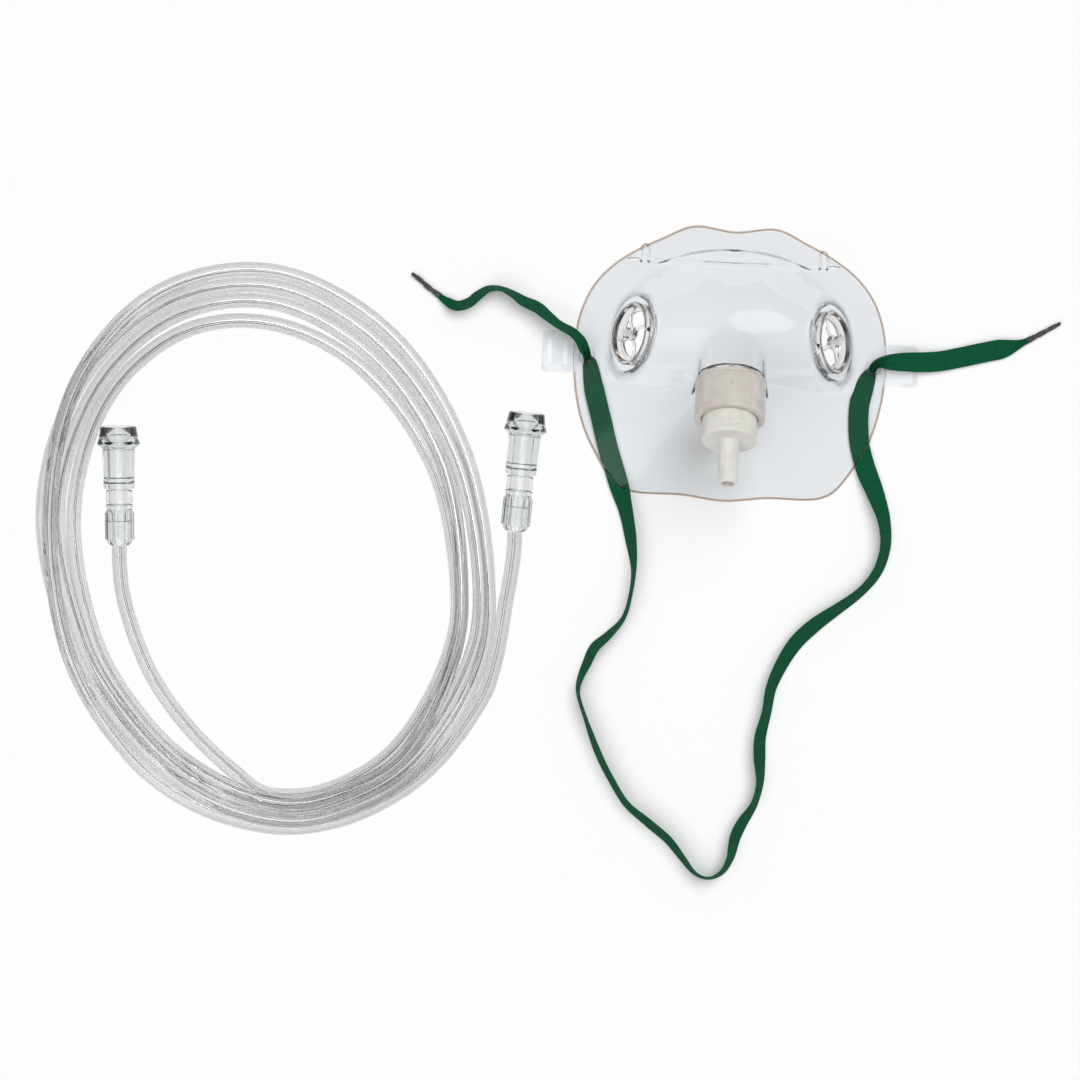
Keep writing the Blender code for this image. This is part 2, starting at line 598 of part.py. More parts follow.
def swivel_collar():
    """Turns on the spout's neck: an inward lip behind the neck's bead keeps it on."""
    lip = NECK_RADIUS + GAP
    bore = NECK_RADIUS + BEAD_HEIGHT + GAP
    seat = ADAPTER_RADIUS + GAP
    step = NECK_LENGTH + 0.6 * MM
    rounding = 0.6 * MM
    profile = [
        (seat, COLLAR_LENGTH), (COLLAR_RADIUS - rounding, COLLAR_LENGTH),
        (COLLAR_RADIUS, COLLAR_LENGTH - rounding), (COLLAR_RADIUS, rounding),
        (COLLAR_RADIUS - rounding, 0.0), (lip, 0.0), (lip, 1.6 * MM), (bore, 2.2 * MM),
        (bore, step), (seat, step),
    ]
    return turn(add_part("swivel_collar", profile_mesh("swivel_collar", profile, True),
                         "collar_plastic", PORT_MATRIX))


def inlet_adapter():
    """Push-fit cup with the hose nipple on its end; gas runs through both."""
    inner = ADAPTER_RADIUS - ADAPTER_WALL
    floor = ADAPTER_END - 2.0 * MM
    tip = NIPPLE_RADIUS - 0.7 * MM
    profile = [
        (NIPPLE_BORE, TIP_END), (tip, TIP_END), (NIPPLE_RADIUS - 0.15 * MM, TIP_END - 0.5 * MM),
        (NIPPLE_RADIUS, TIP_END - 1.2 * MM), (NIPPLE_RADIUS + 0.2 * MM, ADAPTER_END),
        (ADAPTER_RADIUS - 0.6 * MM, ADAPTER_END), (ADAPTER_RADIUS, ADAPTER_END - 0.6 * MM),
        (ADAPTER_RADIUS, ADAPTER_START), (inner, ADAPTER_START), (inner, floor),
        (NIPPLE_BORE, floor),
    ]
    adapter = turn(add_part("inlet_adapter", profile_mesh("inlet_adapter", profile, True),
                            "adapter_plastic", PORT_MATRIX))
    pad_length = 5.4 * MM
    pad = add_cutter("adapter_pad", box_mesh("adapter_pad", (4.4 * MM, 3.0 * MM, pad_length)))
    out = ADAPTER_RADIUS - 1.1 * MM
    along = COLLAR_LENGTH + 1.2 * MM + pad_length / 2
    pad.matrix_world = PORT_MATRIX @ Matrix.Translation((1.6 * MM, out, along))
    combine(adapter, pad, "UNION")
    return adapter


# --- Head strap --------------------------------------------------------------------------
def on_cheek(x):
    """A loose end's x in metres, from its place beside a mask of the route's width."""
    return x * MM + math.copysign(HALF_WIDTH - ROUTE_WIDTH, x)


def ribbon(name, route, count, loose=False):
    """Flat elastic strap along a route, leaning from flat towards its edge."""
    half, thin = STRAP_WIDTH / 2, STRAP_THICKNESS / 2
    wider, longer = HALF_WIDTH * MM / ROUTE_WIDTH, HALF_HEIGHT * MM / ROUTE_HEIGHT
    points = []
    for x, y, support, lean in route:
        tilt = math.radians(lean)
        rise = half * math.sin(tilt) + thin * math.cos(tilt)
        place = (on_cheek(x), y * MM) if loose else (x * wider, y * longer)
        points.append((*place, support * MM + rise + STRAP_CLEARANCE, tilt))
    spaced = smooth_route(points, count)
    curve = curve_data(name, spaced[:, :3], thin)
    curve.extrude = half - thin
    curve.bevel_resolution = 0
    curve.twist_mode = "Z_UP"
    knots = curve.splines[0].points
    for number, (knot, tilt) in enumerate(zip(knots, spaced[:, 3])):
        knot.tilt = math.pi / 2 - tilt
        if loose:
            share = smooth_step(number / (count - 1), 0.8, 1.0)
            knot.radius = 1 - (1 - TAPER) * share
    return add_part(name, curve, "strap_elastic")


def strap_bunch(side):
    """The stretch of strap gathered where it goes through its eyelet."""
    sign = -1 if side == "left" else 1
    top = shell_height(sign * EYELET_X, EYELET_Y) + 4.0 * MM
    mesh = cylinder_mesh("strap_bunch", BUNCH_RADIUS, GAP, top, 12)
    return add_part(f"strap_bunch_{side}", mesh, "strap_elastic",
                    Matrix.Translation((sign * EYELET_X, EYELET_Y, 0.0)))


def strap_tip(side, route):
    points = smooth_route([(on_cheek(x), y * MM, TIP_RADIUS + 0.05 * MM) for x, y in route], 6)
    return add_part(f"strap_tip_{side}", curve_data("strap_tip", points, TIP_RADIUS), "strap_tip")


def head_strap():
    ribbon("head_strap", STRAP_LOOP, 80)
    ribbon("strap_end_left", STRAP_END_LEFT, 34, True)
    ribbon("strap_end_right", STRAP_END_RIGHT, 26, True)
    strap_tip("left", STRAP_TIP_LEFT)
    strap_tip("right", STRAP_TIP_RIGHT)
    for side in ("left", "right"):
        strap_bunch(side)


# --- Supply tubing -----------------------------------------------------------------------
def on_loop(x, y):
    """A place on the tubing in metres, moved out from the anchor as the tube gets thicker."""
    return tuple((a + (p - a) * OPENING) * MM for a, p in zip(TUBING_ANCHOR, (x, y)))


def tubing_coil():
    """Closed solid round all the turns of the coiled tube."""
    ring = 0.5
    bpy.ops.mesh.primitive_torus_add(major_radius=1.0, minor_radius=ring, major_segments=48,
                                     minor_segments=8)
    coil = bpy.context.active_object
    coil.name = "tubing_coil"
    half_height = COIL_HEIGHT / 2
    centre = on_loop(*COIL_CENTRE)
    for vertex in coil.data.vertices:
        angle = math.atan2(vertex.co.y, vertex.co.x)
        side = (math.hypot(vertex.co.x, vertex.co.y) - 1.0) / ring
        share = max(0.0, math.sin(angle)) ** 2
        out = side * (COIL_BUNDLE[0] + (COIL_BUNDLE[1] - COIL_BUNDLE[0]) * share)
        vertex.co.x = centre[0] + (COIL_HALF[0] + out) * math.cos(angle)
        vertex.co.y = centre[1] + (COIL_HALF[1] + out) * math.sin(angle - COIL_SKEW)
        vertex.co.z = half_height * (1 + vertex.co.z / ring)
    for collection in list(coil.users_collection):
        collection.objects.unlink(coil)
    bpy.data.collections["oxygen_mask"].objects.link(coil)
    coil.data.materials.append(finish_material("tube_clear"))
    return coil


def tube_tail(name, route):
    lift = TUBE_RADIUS - 3.0 * MM
    points = smooth_route([(*on_loop(x, y), z * MM + lift) for x, y, z in route], 18)
    return add_part(name, curve_data(name, points, TUBE_RADIUS), "tube_clear")


def connector(side, place, heading):
    """Cuff on the tube, clear sleeve, and the funnel-mouthed socket for a nipple."""
    frame = (Matrix.Translation((*on_loop(*place), CUFF_AXIS_HEIGHT))
             @ Matrix.Rotation(math.radians(heading), 4, "Z")
             @ Matrix.Rotation(math.radians(CONNECTOR_RISE), 4, "X")
             @ Matrix.Rotation(math.radians(-90), 4, "X"))
    bore = SOCKET_BORE
    cuff_end = CUFF_LENGTH - GAP
    cuff = [(bore, cuff_end), (CUFF_RADIUS - 0.3 * MM, cuff_end), (CUFF_RADIUS, cuff_end - 1 * MM),
            (CUFF_RADIUS, 2.0 * MM), (CUFF_RADIUS - 1.6 * MM, 0.0), (TUBE_RADIUS + GAP, 0.0),
            (TUBE_RADIUS + GAP, 1.0 * MM), (bore, 3.0 * MM)]
    body = turn(add_part(f"{side}_cuff", profile_mesh("cuff", cuff, True), "connector_clear",
                         frame))
    rib_length = CUFF_LENGTH - 6.0 * MM
    ribs = bmesh.new()
    for number in range(CUFF_RIBS):
        turned = Matrix.Rotation(2 * math.pi * number / CUFF_RIBS, 4, "Z")
        spot = Matrix.Translation((CUFF_RADIUS, 0.0, 2.4 * MM + rib_length / 2))
        size = Matrix.Diagonal((0.9 * MM, 0.9 * MM, rib_length, 1.0))
        bmesh.ops.create_cube(ribs, size=1.0, matrix=turned @ spot @ size)
    rib_mesh = bpy.data.meshes.new("cuff_ribs")
    ribs.to_mesh(rib_mesh)
    ribs.free()
    combine(body, add_cutter(f"{side}_cuff_ribs", rib_mesh, frame), "UNION")
    low = CUFF_LENGTH
    high = low + SLEEVE_LENGTH - GAP
    sleeve = [(bore, high), (SLEEVE_RADIUS, high), (SLEEVE_RADIUS, low), (bore, low)]
    turn(add_part(f"{side}_sleeve", profile_mesh("sleeve", sleeve, True), "connector_clear",
                  frame))
    low = CUFF_LENGTH + SLEEVE_LENGTH
    lip = low + BARREL_LENGTH + 2.2 * MM
    mouth = CONNECTOR_LENGTH
    socket = [
        (MOUTH_RADIUS - 0.8 * MM, mouth), (MOUTH_RADIUS, mouth), (LIP_RADIUS - 0.7 * MM, lip + 2 * MM),
        (LIP_RADIUS, lip), (LIP_RADIUS - 0.5 * MM, lip - 0.5 * MM),
        (BARREL_RADIUS, low + BARREL_LENGTH), (BARREL_RADIUS - 0.4 * MM, low), (bore, low),
        (bore, low + BARREL_LENGTH + 1.4 * MM),
    ]
    turn(add_part(f"{side}_socket", profile_mesh("socket", socket, True), "connector_clear",
                  frame))


def main():
    clear_scene()
    mask_shell()
    for side in ("left", "right"):
        exhalation_port(side)
    swivel_collar()
    inlet_adapter()
    head_strap()
    tubing_coil()
    tube_tail("tubing_tail_patient", TAIL_PATIENT)
    tube_tail("tubing_tail_supply", TAIL_SUPPLY)
    connector("patient", PATIENT_CONNECTOR, PATIENT_HEADING)
    connector("supply", SUPPLY_CONNECTOR, SUPPLY_HEADING)


main()
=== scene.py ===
import math

import bmesh
import bpy
import numpy as np
from mathutils import Matrix, Vector


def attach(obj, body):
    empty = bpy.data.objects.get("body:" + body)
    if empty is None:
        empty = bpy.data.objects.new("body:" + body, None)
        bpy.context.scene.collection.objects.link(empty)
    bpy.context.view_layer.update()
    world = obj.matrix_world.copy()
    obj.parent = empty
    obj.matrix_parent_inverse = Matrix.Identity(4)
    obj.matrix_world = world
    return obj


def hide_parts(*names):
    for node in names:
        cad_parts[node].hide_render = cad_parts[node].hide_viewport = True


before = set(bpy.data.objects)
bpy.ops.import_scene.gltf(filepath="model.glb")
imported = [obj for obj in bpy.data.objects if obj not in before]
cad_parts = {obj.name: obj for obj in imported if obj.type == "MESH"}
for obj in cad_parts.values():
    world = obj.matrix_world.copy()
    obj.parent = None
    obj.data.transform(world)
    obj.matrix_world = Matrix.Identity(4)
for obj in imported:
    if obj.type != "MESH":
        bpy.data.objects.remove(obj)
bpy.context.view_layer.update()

MM = 0.001


# --- Camera and light ----------------------------------------------------------------------
def camera_and_light():
    """Long lens from above, two soft suns, and a world that is bright overhead, dim at the sides."""
    scene = bpy.context.scene
    scene.view_settings.view_transform = "Standard"
    lens = bpy.data.cameras.new("camera")
    lens.lens = 250
    lens.sensor_width = 36
    lens.clip_end = 100
    camera = bpy.data.objects.new("camera", lens)
    camera.location = (-0.0727, -0.0734, 3.0)
    camera.rotation_euler = (0, 0, math.radians(2.5))
    scene.collection.objects.link(camera)
    scene.camera = camera

    lamps = (("key", (-20, 14, 0), 1.62, 44), ("fill", (24, -20, 0), 0.88, 56))
    for name, turn, strength, soft in lamps:
        sun = bpy.data.lights.new(name, "SUN")
        sun.energy = strength
        sun.angle = math.radians(soft)
        lamp = bpy.data.objects.new(name, sun)
        lamp.rotation_euler = [math.radians(a) for a in turn]
        lamp.visible_glossy = False
        scene.collection.objects.link(lamp)

    world = bpy.data.worlds.new("studio")
    scene.world = world
    world.use_nodes = True
    nodes, links = world.node_tree.nodes, world.node_tree.links
    back = nodes["Background"]
    place = nodes.new("ShaderNodeTexCoord")
    split = nodes.new("ShaderNodeSeparateXYZ")
    ramp = nodes.new("ShaderNodeValToRGB")
    links.new(place.outputs["Generated"], split.inputs[0])
    links.new(split.outputs["Z"], ramp.inputs[0])
    links.new(ramp.outputs[0], back.inputs["Color"])
    stops = ramp.color_ramp.elements
    stops[0].position = 0.0
    stops[0].color = (0.85, 0.85, 0.86, 1)
    stops[1].position = 1.0
    stops[1].color = (1, 1, 1, 1)
    for position, grey in ((0.02, 0.2), (0.62, 0.24), (0.84, 0.9)):
        stop = stops.new(position)
        stop.color = (grey, grey, grey * 1.02, 1)
    back.inputs["Strength"].default_value = 0.62


def floor():
    mesh = bpy.data.meshes.new("floor")
    shape = bmesh.new()
    bmesh.ops.create_circle(shape, cap_ends=True, segments=64, radius=12.0)
    shape.to_mesh(mesh)
    shape.free()
    obj = bpy.data.objects.new("floor", mesh)
    obj.location.z = -0.0001
    bpy.context.scene.collection.objects.link(obj)
    m = new_material("floor", (0.93, 0.93, 0.93), 0.9)
    m.node_tree.nodes["Principled BSDF"].inputs["Specular IOR Level"].default_value = 0.0
    mesh.materials.append(m)


# --- Materials -----------------------------------------------------------------------------
def new_material(name, colour, roughness, **values):
    m = bpy.data.materials.new(name)
    m.use_nodes = True
    shader = m.node_tree.nodes["Principled BSDF"]
    shader.inputs["Base Color"].default_value = (*colour, 1)
    shader.inputs["Roughness"].default_value = roughness
    for key, value in values.items():
        shader.inputs[key.replace("_", " ")].default_value = value
    return m


def node(m, kind, **values):
    n = m.node_tree.nodes.new(kind)
    for key, value in values.items():
        if key in n.inputs:
            n.inputs[key].default_value = value
        else:
            setattr(n, key, value)
    return n


def link(m, a, b):
    m.node_tree.links.new(a, b)


def noise(m, scale, detail=3.0, stretch=(1, 1, 1)):
    place = node(m, "ShaderNodeTexCoord")
    turn = node(m, "ShaderNodeMapping")
    turn.inputs["Scale"].default_value = stretch
    tex = node(m, "ShaderNodeTexNoise", Scale=scale, Detail=detail)
    link(m, place.outputs["Object"], turn.inputs[0])
    link(m, turn.outputs[0], tex.inputs["Vector"])
    return tex


def ramp(m, source, stops):
    r = node(m, "ShaderNodeValToRGB")
    while len(r.color_ramp.elements) < len(stops):
        r.color_ramp.elements.new(0.5)
    for element, (position, colour) in zip(r.color_ramp.elements, stops):
        element.position = position
        element.color = (*colour, 1) if len(colour) == 3 else colour
    link(m, source, r.inputs[0])
    return r.outputs[0]


def grey(value):
    return (value, value, value)


def bump(m, source, distance, strength=1.0, after=None):
    b = node(m, "ShaderNodeBump", Strength=strength, Distance=distance)
    link(m, source, b.inputs["Height"])
    if after is not None:
        link(m, after, b.inputs["Normal"])
    return b.outputs[0]


def shader_of(m):
    return m.node_tree.nodes["Principled BSDF"]


def clear_plastic(name, colour, roughness, ior, wave, grain, density):
    """Clear moulded plastic: darker through thick edges, slow waves, fine grain, faint smears."""
    m = new_material(name, colour, roughness, Transmission_Weight=1.0, IOR=ior)
    waves = noise(m, wave, 2.0)
    fine = noise(m, grain, 2.0)
    smear = noise(m, wave * 1.7, 4.0)
    normal = bump(m, waves.outputs["Fac"], 0.0006, 0.25)
    normal = bump(m, fine.outputs["Fac"], 0.00004, 0.3, normal)
    link(m, normal, shader_of(m).inputs["Normal"])
    rough = ramp(m, smear.outputs["Fac"], [(0.35, grey(roughness)), (0.7, grey(roughness * 2.2 + 0.02))])
    link(m, rough, shader_of(m).inputs["Roughness"])
    tint = ramp(m, waves.outputs["Fac"], [(0.3, grey(0.965)), (0.7, grey(0.985))])
    link(m, tint, shader_of(m).inputs["Base Color"])
    depth = node(m, "ShaderNodeVolumeAbsorption", Density=density)
    depth.inputs["Color"].default_value = (*colour, 1)
    link(m, depth.outputs[0], m.node_tree.nodes["Material Output"].inputs["Volume"])
    return m


def cloudy_plastic(name, light, dark, roughness, streak):
    """Translucent moulded plastic with faint draw lines along the part."""
    m = new_material(name, light, roughness, Subsurface_Weight=0.25, Subsurface_Scale=0.002,
                     Coat_Weight=0.35, Coat_Roughness=0.18)
    cloud = noise(m, 180, 3.0)
    lines = noise(m, 900, 2.0, streak)
    colour = ramp(m, cloud.outputs["Fac"], [(0.3, dark), (0.68, light)])
    link(m, colour, shader_of(m).inputs["Base Color"])
    normal = bump(m, lines.outputs["Fac"], 0.00005, 0.5)
    link(m, normal, shader_of(m).inputs["Normal"])
    rough = ramp(m, lines.outputs["Fac"], [(0.3, grey(roughness * 0.8)), (0.7, grey(roughness * 1.2))])
    link(m, rough, shader_of(m).inputs["Roughness"])
    return m


def strap_cloth():
    """Narrow woven elastic: warp cords along the strap, weft picks across it."""
    m = new_material("strap_woven", (0.003, 0.066, 0.025), 0.75, Sheen_Weight=0.01,
                     Sheen_Roughness=0.5)
    shader = shader_of(m)
    shader.inputs["Specular IOR Level"].default_value = 0.05
    uv = node(m, "ShaderNodeUVMap", uv_map="UVMap")
    split = node(m, "ShaderNodeSeparateXYZ")
    link(m, uv.outputs[0], split.inputs[0])

    def wave(source, count, phase=0.0):
        turns = node(m, "ShaderNodeMath", operation="MULTIPLY_ADD")
        turns.inputs[1].default_value = count * 2 * math.pi
        turns.inputs[2].default_value = phase
        link(m, source, turns.inputs[0])
        sine = node(m, "ShaderNodeMath", operation="SINE")
        link(m, turns.outputs[0], sine.inputs[0])
        half = node(m, "ShaderNodeMath", operation="MULTIPLY_ADD")
        half.inputs[1].default_value = 0.5
        half.inputs[2].default_value = 0.5
        link(m, sine.outputs[0], half.inputs[0])
        return half.outputs[0]

    warp = wave(split.outputs["Y"], 13)
    weft = wave(split.outputs["X"], 1250)
    both = node(m, "ShaderNodeMath", operation="MULTIPLY_ADD")
    both.inputs[1].default_value = 0.45
    link(m, weft, both.inputs[0])
    link(m, warp, both.inputs[2])
    uneven = noise(m, 420, 4.0)
    shade = node(m, "ShaderNodeMath", operation="MULTIPLY_ADD")
    shade.inputs[1].default_value = 0.9
    link(m, uneven.outputs["Fac"], shade.inputs[0])
    link(m, both.outputs[0], shade.inputs[2])
    colour = ramp(m, shade.outputs[0], [(0.25, (0.0016, 0.036, 0.014)), (0.95, (0.0032, 0.074, 0.030)),
                                       (1.0, (0.008, 0.1, 0.045))])
    link(m, colour, shader.inputs["Base Color"])
    normal = bump(m, both.outputs[0], 0.00012, 0.8)
    normal = bump(m, uneven.outputs["Fac"], 0.0003, 0.35, normal)
    link(m, normal, shader.inputs["Normal"])
    return m


def strap_seal():
    """Heat-sealed strap end: melted, dark and a little glossy, with specks of green."""
    m = new_material("strap_sealed", (0.04, 0.05, 0.045), 0.42)
    lumps = noise(m, 650, 5.0)
    colour = ramp(m, lumps.outputs["Fac"], [(0.35, (0.03, 0.036, 0.034)), (0.6, (0.075, 0.085, 0.08)),
                                            (0.75, (0.02, 0.075, 0.04))])
    link(m, colour, shader_of(m).inputs["Base Color"])
    link(m, bump(m, lumps.outputs["Fac"], 0.0004, 0.7), shader_of(m).inputs["Normal"])
    return m


# --- Mesh helpers --------------------------------------------------------------------------
def add_piece(name, mesh, material, body, nodes=(), clear=False, sharp=32):
    obj = bpy.data.objects.new(name, mesh)
    bpy.context.scene.collection.objects.link(obj)
    mesh.materials.clear()
    mesh.materials.append(material)
    mesh.shade_smooth()
    if sharp:
        mesh.set_sharp_from_angle(angle=math.radians(sharp))
    obj.visible_shadow = not clear
    obj.visible_diffuse = not clear
    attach(obj, body)
    if nodes:
        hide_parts(*nodes)
    return obj


def mesh_from(name, points, faces):
    mesh = bpy.data.meshes.new(name)
    mesh.from_pydata([tuple(p) for p in points], [], faces)
    shape = bmesh.new()
    shape.from_mesh(mesh)
    bmesh.ops.recalc_face_normals(shape, faces=shape.faces)
    shape.to_mesh(mesh)
    shape.free()
    return mesh


def ring_faces(rings, count, closed_rings=False):
    """Quads between rings of count points each; closed_rings joins the last ring to the first."""
    faces = []
    last = rings if closed_rings else rings - 1
    for i in range(last):
        a, b = i * count, ((i + 1) % rings) * count
        for j in range(count):
            k = (j + 1) % count
            faces.append((a + j, a + k, b + k, b + j))
    return faces


def rounded(profile, radius, steps=4):
    """A closed profile with each corner replaced by a small curve."""
    out = []
    count = len(profile)
    for i in range(count):
        before, here, after = (np.array(profile[(i + k) % count], float) for k in (-1, 0, 1))
        a, b = before - here, after - here
        cut = min(radius, 0.4 * np.linalg.norm(a), 0.4 * np.linalg.norm(b))
        a, b = here + a / np.linalg.norm(a) * cut, here + b / np.linalg.norm(b) * cut
        for step in range(steps + 1):
            t = step / steps
            out.append(tuple((1 - t) ** 2 * a + 2 * t * (1 - t) * here + t * t * b))
    return out


def lathe(name, profile, matrix, segments=96, shape=None):
    """Closed turned solid. shape(radius, height, angle) may change the radius."""
    points = []
    for step in range(segments):
        angle = 2 * math.pi * step / segments
        for radius, height in profile:
            r = shape(radius, height, angle) if shape else radius
            points.append(matrix @ Vector((r * math.cos(angle), r * math.sin(angle), height)))
    return mesh_from(name, points, ring_faces(segments, len(profile), True))


def resample(points, spacing):
    """Evenly spaced rows along a Catmull-Rom curve through the rows' first three columns."""
    rows = np.array(points, float)
    padded = np.vstack([rows[0] * 2 - rows[1], rows, rows[-1] * 2 - rows[-2]])
    fine = []
    t = np.linspace(0, 1, 24, endpoint=False)[:, None]
    for a, b, c, d in zip(padded, padded[1:], padded[2:], padded[3:]):
        fine.append(0.5 * (2 * b + (c - a) * t + (2 * a - 5 * b + 4 * c - d) * t ** 2
                           + (3 * b - a - 3 * c + d) * t ** 3))
    fine = np.vstack(fine + [rows[-1:]])
    run = np.concatenate([[0], np.cumsum(np.linalg.norm(np.diff(fine[:, :3], axis=0), axis=1))])
    wanted = np.linspace(0, run[-1], max(3, round(run[-1] / spacing) + 1))
    return np.stack([np.interp(wanted, run, fine[:, i]) for i in range(fine.shape[1])], axis=1)


def tangents(line):
    t = np.gradient(line, axis=0)
    return t / np.linalg.norm(t, axis=1)[:, None]


def unit(v):
    return v / np.maximum(np.linalg.norm(v, axis=-1, keepdims=True), 1e-12)


def sweep(name, line, sides, sections, uv=None):
    """Closed tube: sections[i] holds (across, up) points placed at line[i]."""
    along = tangents(line)
    sides = unit(sides - (sides * along).sum(1)[:, None] * along)
    ups = np.cross(along, sides)
    count = sections.shape[1]
    points = (line[:, None] + sections[:, :, :1] * sides[:, None]
              + sections[:, :, 1:] * ups[:, None]).reshape(-1, 3)
    faces = ring_faces(len(line), count)
    faces.append(tuple(range(count))[::-1])
    faces.append(tuple((len(line) - 1) * count + i for i in range(count)))
    mesh = bpy.data.meshes.new(name)
    mesh.from_pydata(points.tolist(), [], faces)
    shape = bmesh.new()
    shape.from_mesh(mesh)
    bmesh.ops.recalc_face_normals(shape, faces=shape.faces)
    if uv is not None:
        layer = shape.loops.layers.uv.new("UVMap")
        shape.verts.ensure_lookup_table()
        for face in shape.faces:
            for loop in face.loops:
                loop[layer].uv = uv[loop.vert.index]
    shape.to_mesh(mesh)
    shape.free()
    return mesh


def carried_sides(line, start=(0.0, 0.0, 1.0)):
    """A side direction carried along the line without twist."""
    along = tangents(line)
    side = np.array(start, float)
    out = []
    for t in along:
        side = unit(side - side.dot(t) * t)
        out.append(side)
    return np.array(out)


def helper_object(name, mesh):
    """An object that lives only while a Boolean is worked out."""
    obj = bpy.data.objects.new(name, mesh)
    bpy.context.scene.collection.objects.link(obj)
    return obj


def combined(name, base, unions, cuts):
    """The base mesh with the union meshes added, then the cut meshes taken away."""
    target = helper_object(name, base)
    helpers = []
    for operation, meshes in (("UNION", unions), ("DIFFERENCE", cuts)):
        for number, mesh in enumerate(meshes):
            helper = helper_object(f"{name}_{operation.lower()}_{number}", mesh)
            helpers.append(helper)
            modifier = target.modifiers.new(helper.name, "BOOLEAN")
            modifier.operation = operation
            modifier.object = helper
            modifier.solver = "MANIFOLD"
    view = bpy.context.evaluated_depsgraph_get()
    mesh = bpy.data.meshes.new_from_object(target.evaluated_get(view))
    for obj in [target] + helpers:
        bpy.data.objects.remove(obj, do_unlink=True)
    return mesh


# --- Supply tubing -------------------------------------------------------------------------
TUBE_RADIUS = 3.0
COIL_CENTRE = (-182.1, -83.3)
COIL_HALF = (83.6, 102.5)
COIL_SKEW = 7.0
LAYER_RISE = 5.2
SETTLING_STEPS = 140
STRAND_GAP = 2 * TUBE_RADIUS + 0.1
TAIL_PATIENT = [
    (-240.4, -83.2, 5.9), (-239.9, -91, 5.5), (-238.6, -100.4, 4.4), (-236, -110, 3.5),
    (-231.9, -121, 3.2), (-226.8, -131.6, 3.1), (-220.4, -141.6, 3.1), (-213.2, -150.6, 3.1),
    (-206.6, -157.6, 3.1), (-200.4, -163.4, 3.1), (-190.6, -171.4, 3.1),
]
TAIL_SUPPLY = [
    (-94.6, -138.5, 3.1), (-90, -126, 3.1), (-87.2, -112, 3.1), (-85.4, -99, 3.4),
    (-83.8, -88, 4.2), (-82.9, -78, 5.4), (-82.9, -70.6, 5.9),
]
# Each turn: (degrees round the oval, mm outwards from the middle of the bundle, layer)
TURNS = [
    [(274, -5.9, 0), (292, -5.7, 0), (315, -5.8, 0), (340, -5.8, 0), (360, -5.8, 0),
     (390, -6.6, 0), (420, -8.7, 0), (450, -10, 0), (480, -8.5, 0), (510, -6.5, 0)],
    [(180, -5.8, 0), (210, -5.8, 0), (235, -5.6, 0), (255, -4.4, 0.7), (275, -2.8, 1), (292, -2.8, 1),
     (315, -1.2, 0.8), (340, -3.6, 1), (360, -4.6, 1), (390, -3.4, 0.8), (420, -2.8, 0.2),
     (450, -1.6, 0), (480, -1.7, 0), (510, -1.0, 0)],
    [(180, 0.2, 0), (210, -2.0, 0.8), (235, -2.8, 1), (255, -1.8, 0.6), (275, 0.2, 0), (292, 0.4, 0),
     (315, 1.8, 0.6), (340, 3.0, 1), (360, 3.4, 1), (390, 2.2, 0.8), (420, 2.4, 0.3), (450, 4.4, 0),
     (480, 4.2, 0), (510, 5.0, 0)],
    [(180, 5.2, 0), (210, 3.0, 0), (235, 0.4, 0), (255, 1.6, 0.5), (275, 3.0, 1), (292, 3.2, 1),
     (315, 4.6, 0.8), (340, 5.8, 0), (360, 5.8, 0), (390, 5.9, 0), (420, 8.4, 0), (450, 10, 0),
     (480, 8.4, 0.2), (510, 5.6, 0.7)],
    [(180, 2.6, 1), (210, 4.6, 0.5), (235, 5.8, 0), (255, 5.8, 0), (275, 5.9, 0), (292, 5.9, 0),
     (308, 6.6, 0), (322, 8.2, 0)],
]


def coil_line():
    """The tube's middle line in metres: laid turn by turn, then settled on itself."""
    points = list(TAIL_PATIENT)
    for turn in TURNS:
        for degrees, out, layer in turn:
            u = math.radians(degrees)
            x = COIL_CENTRE[0] + (COIL_HALF[0] + out) * math.cos(u)
            y = COIL_CENTRE[1] + (COIL_HALF[1] + out) * math.sin(u - math.radians(COIL_SKEW))
            points.append((x, y, TUBE_RADIUS + LAYER_RISE * layer))
    points += TAIL_SUPPLY
    start = resample(points, 2.5)
    line = start.copy()
    count = len(line)
    index = np.arange(count)
    far = np.abs(index[:, None] - index[None, :]) > 24
    later = np.sign(index[:, None] - index[None, :])
    held = np.minimum(np.minimum(index, count - 1 - index) / 16.0, 1.0)[:, None]
    for _ in range(SETTLING_STEPS):
        gap = line[:, None] - line[None, :]
        distance = np.linalg.norm(gap, axis=2)
        near = far & (distance < STRAND_GAP)
        deficit = np.where(near, (STRAND_GAP - distance) / np.maximum(distance, 0.3), 0.0)
        lean = np.where(np.abs(gap[:, :, 2]) < 0.4, 0.6 * later, gap[:, :, 2])
        moved = np.zeros((count, 3))
        share = 0.6 / np.maximum(near.sum(1), 1)
        moved[:, 0] = (deficit * gap[:, :, 0]).sum(1) * share * 0.12
        moved[:, 1] = (deficit * gap[:, :, 1]).sum(1) * share * 0.12
        moved[:, 2] = (deficit * lean).sum(1) * share * 1.6 - 0.05
        shift = (line + moved * held) - start
        for _ in range(14):
            shift[1:-1] = 0.5 * shift[1:-1] + 0.25 * (shift[:-2] + shift[2:])
        line = start + shift * held
        line[:, 2] = np.maximum(line[:, 2], TUBE_RADIUS)
    return resample(line, 2.0) * MM


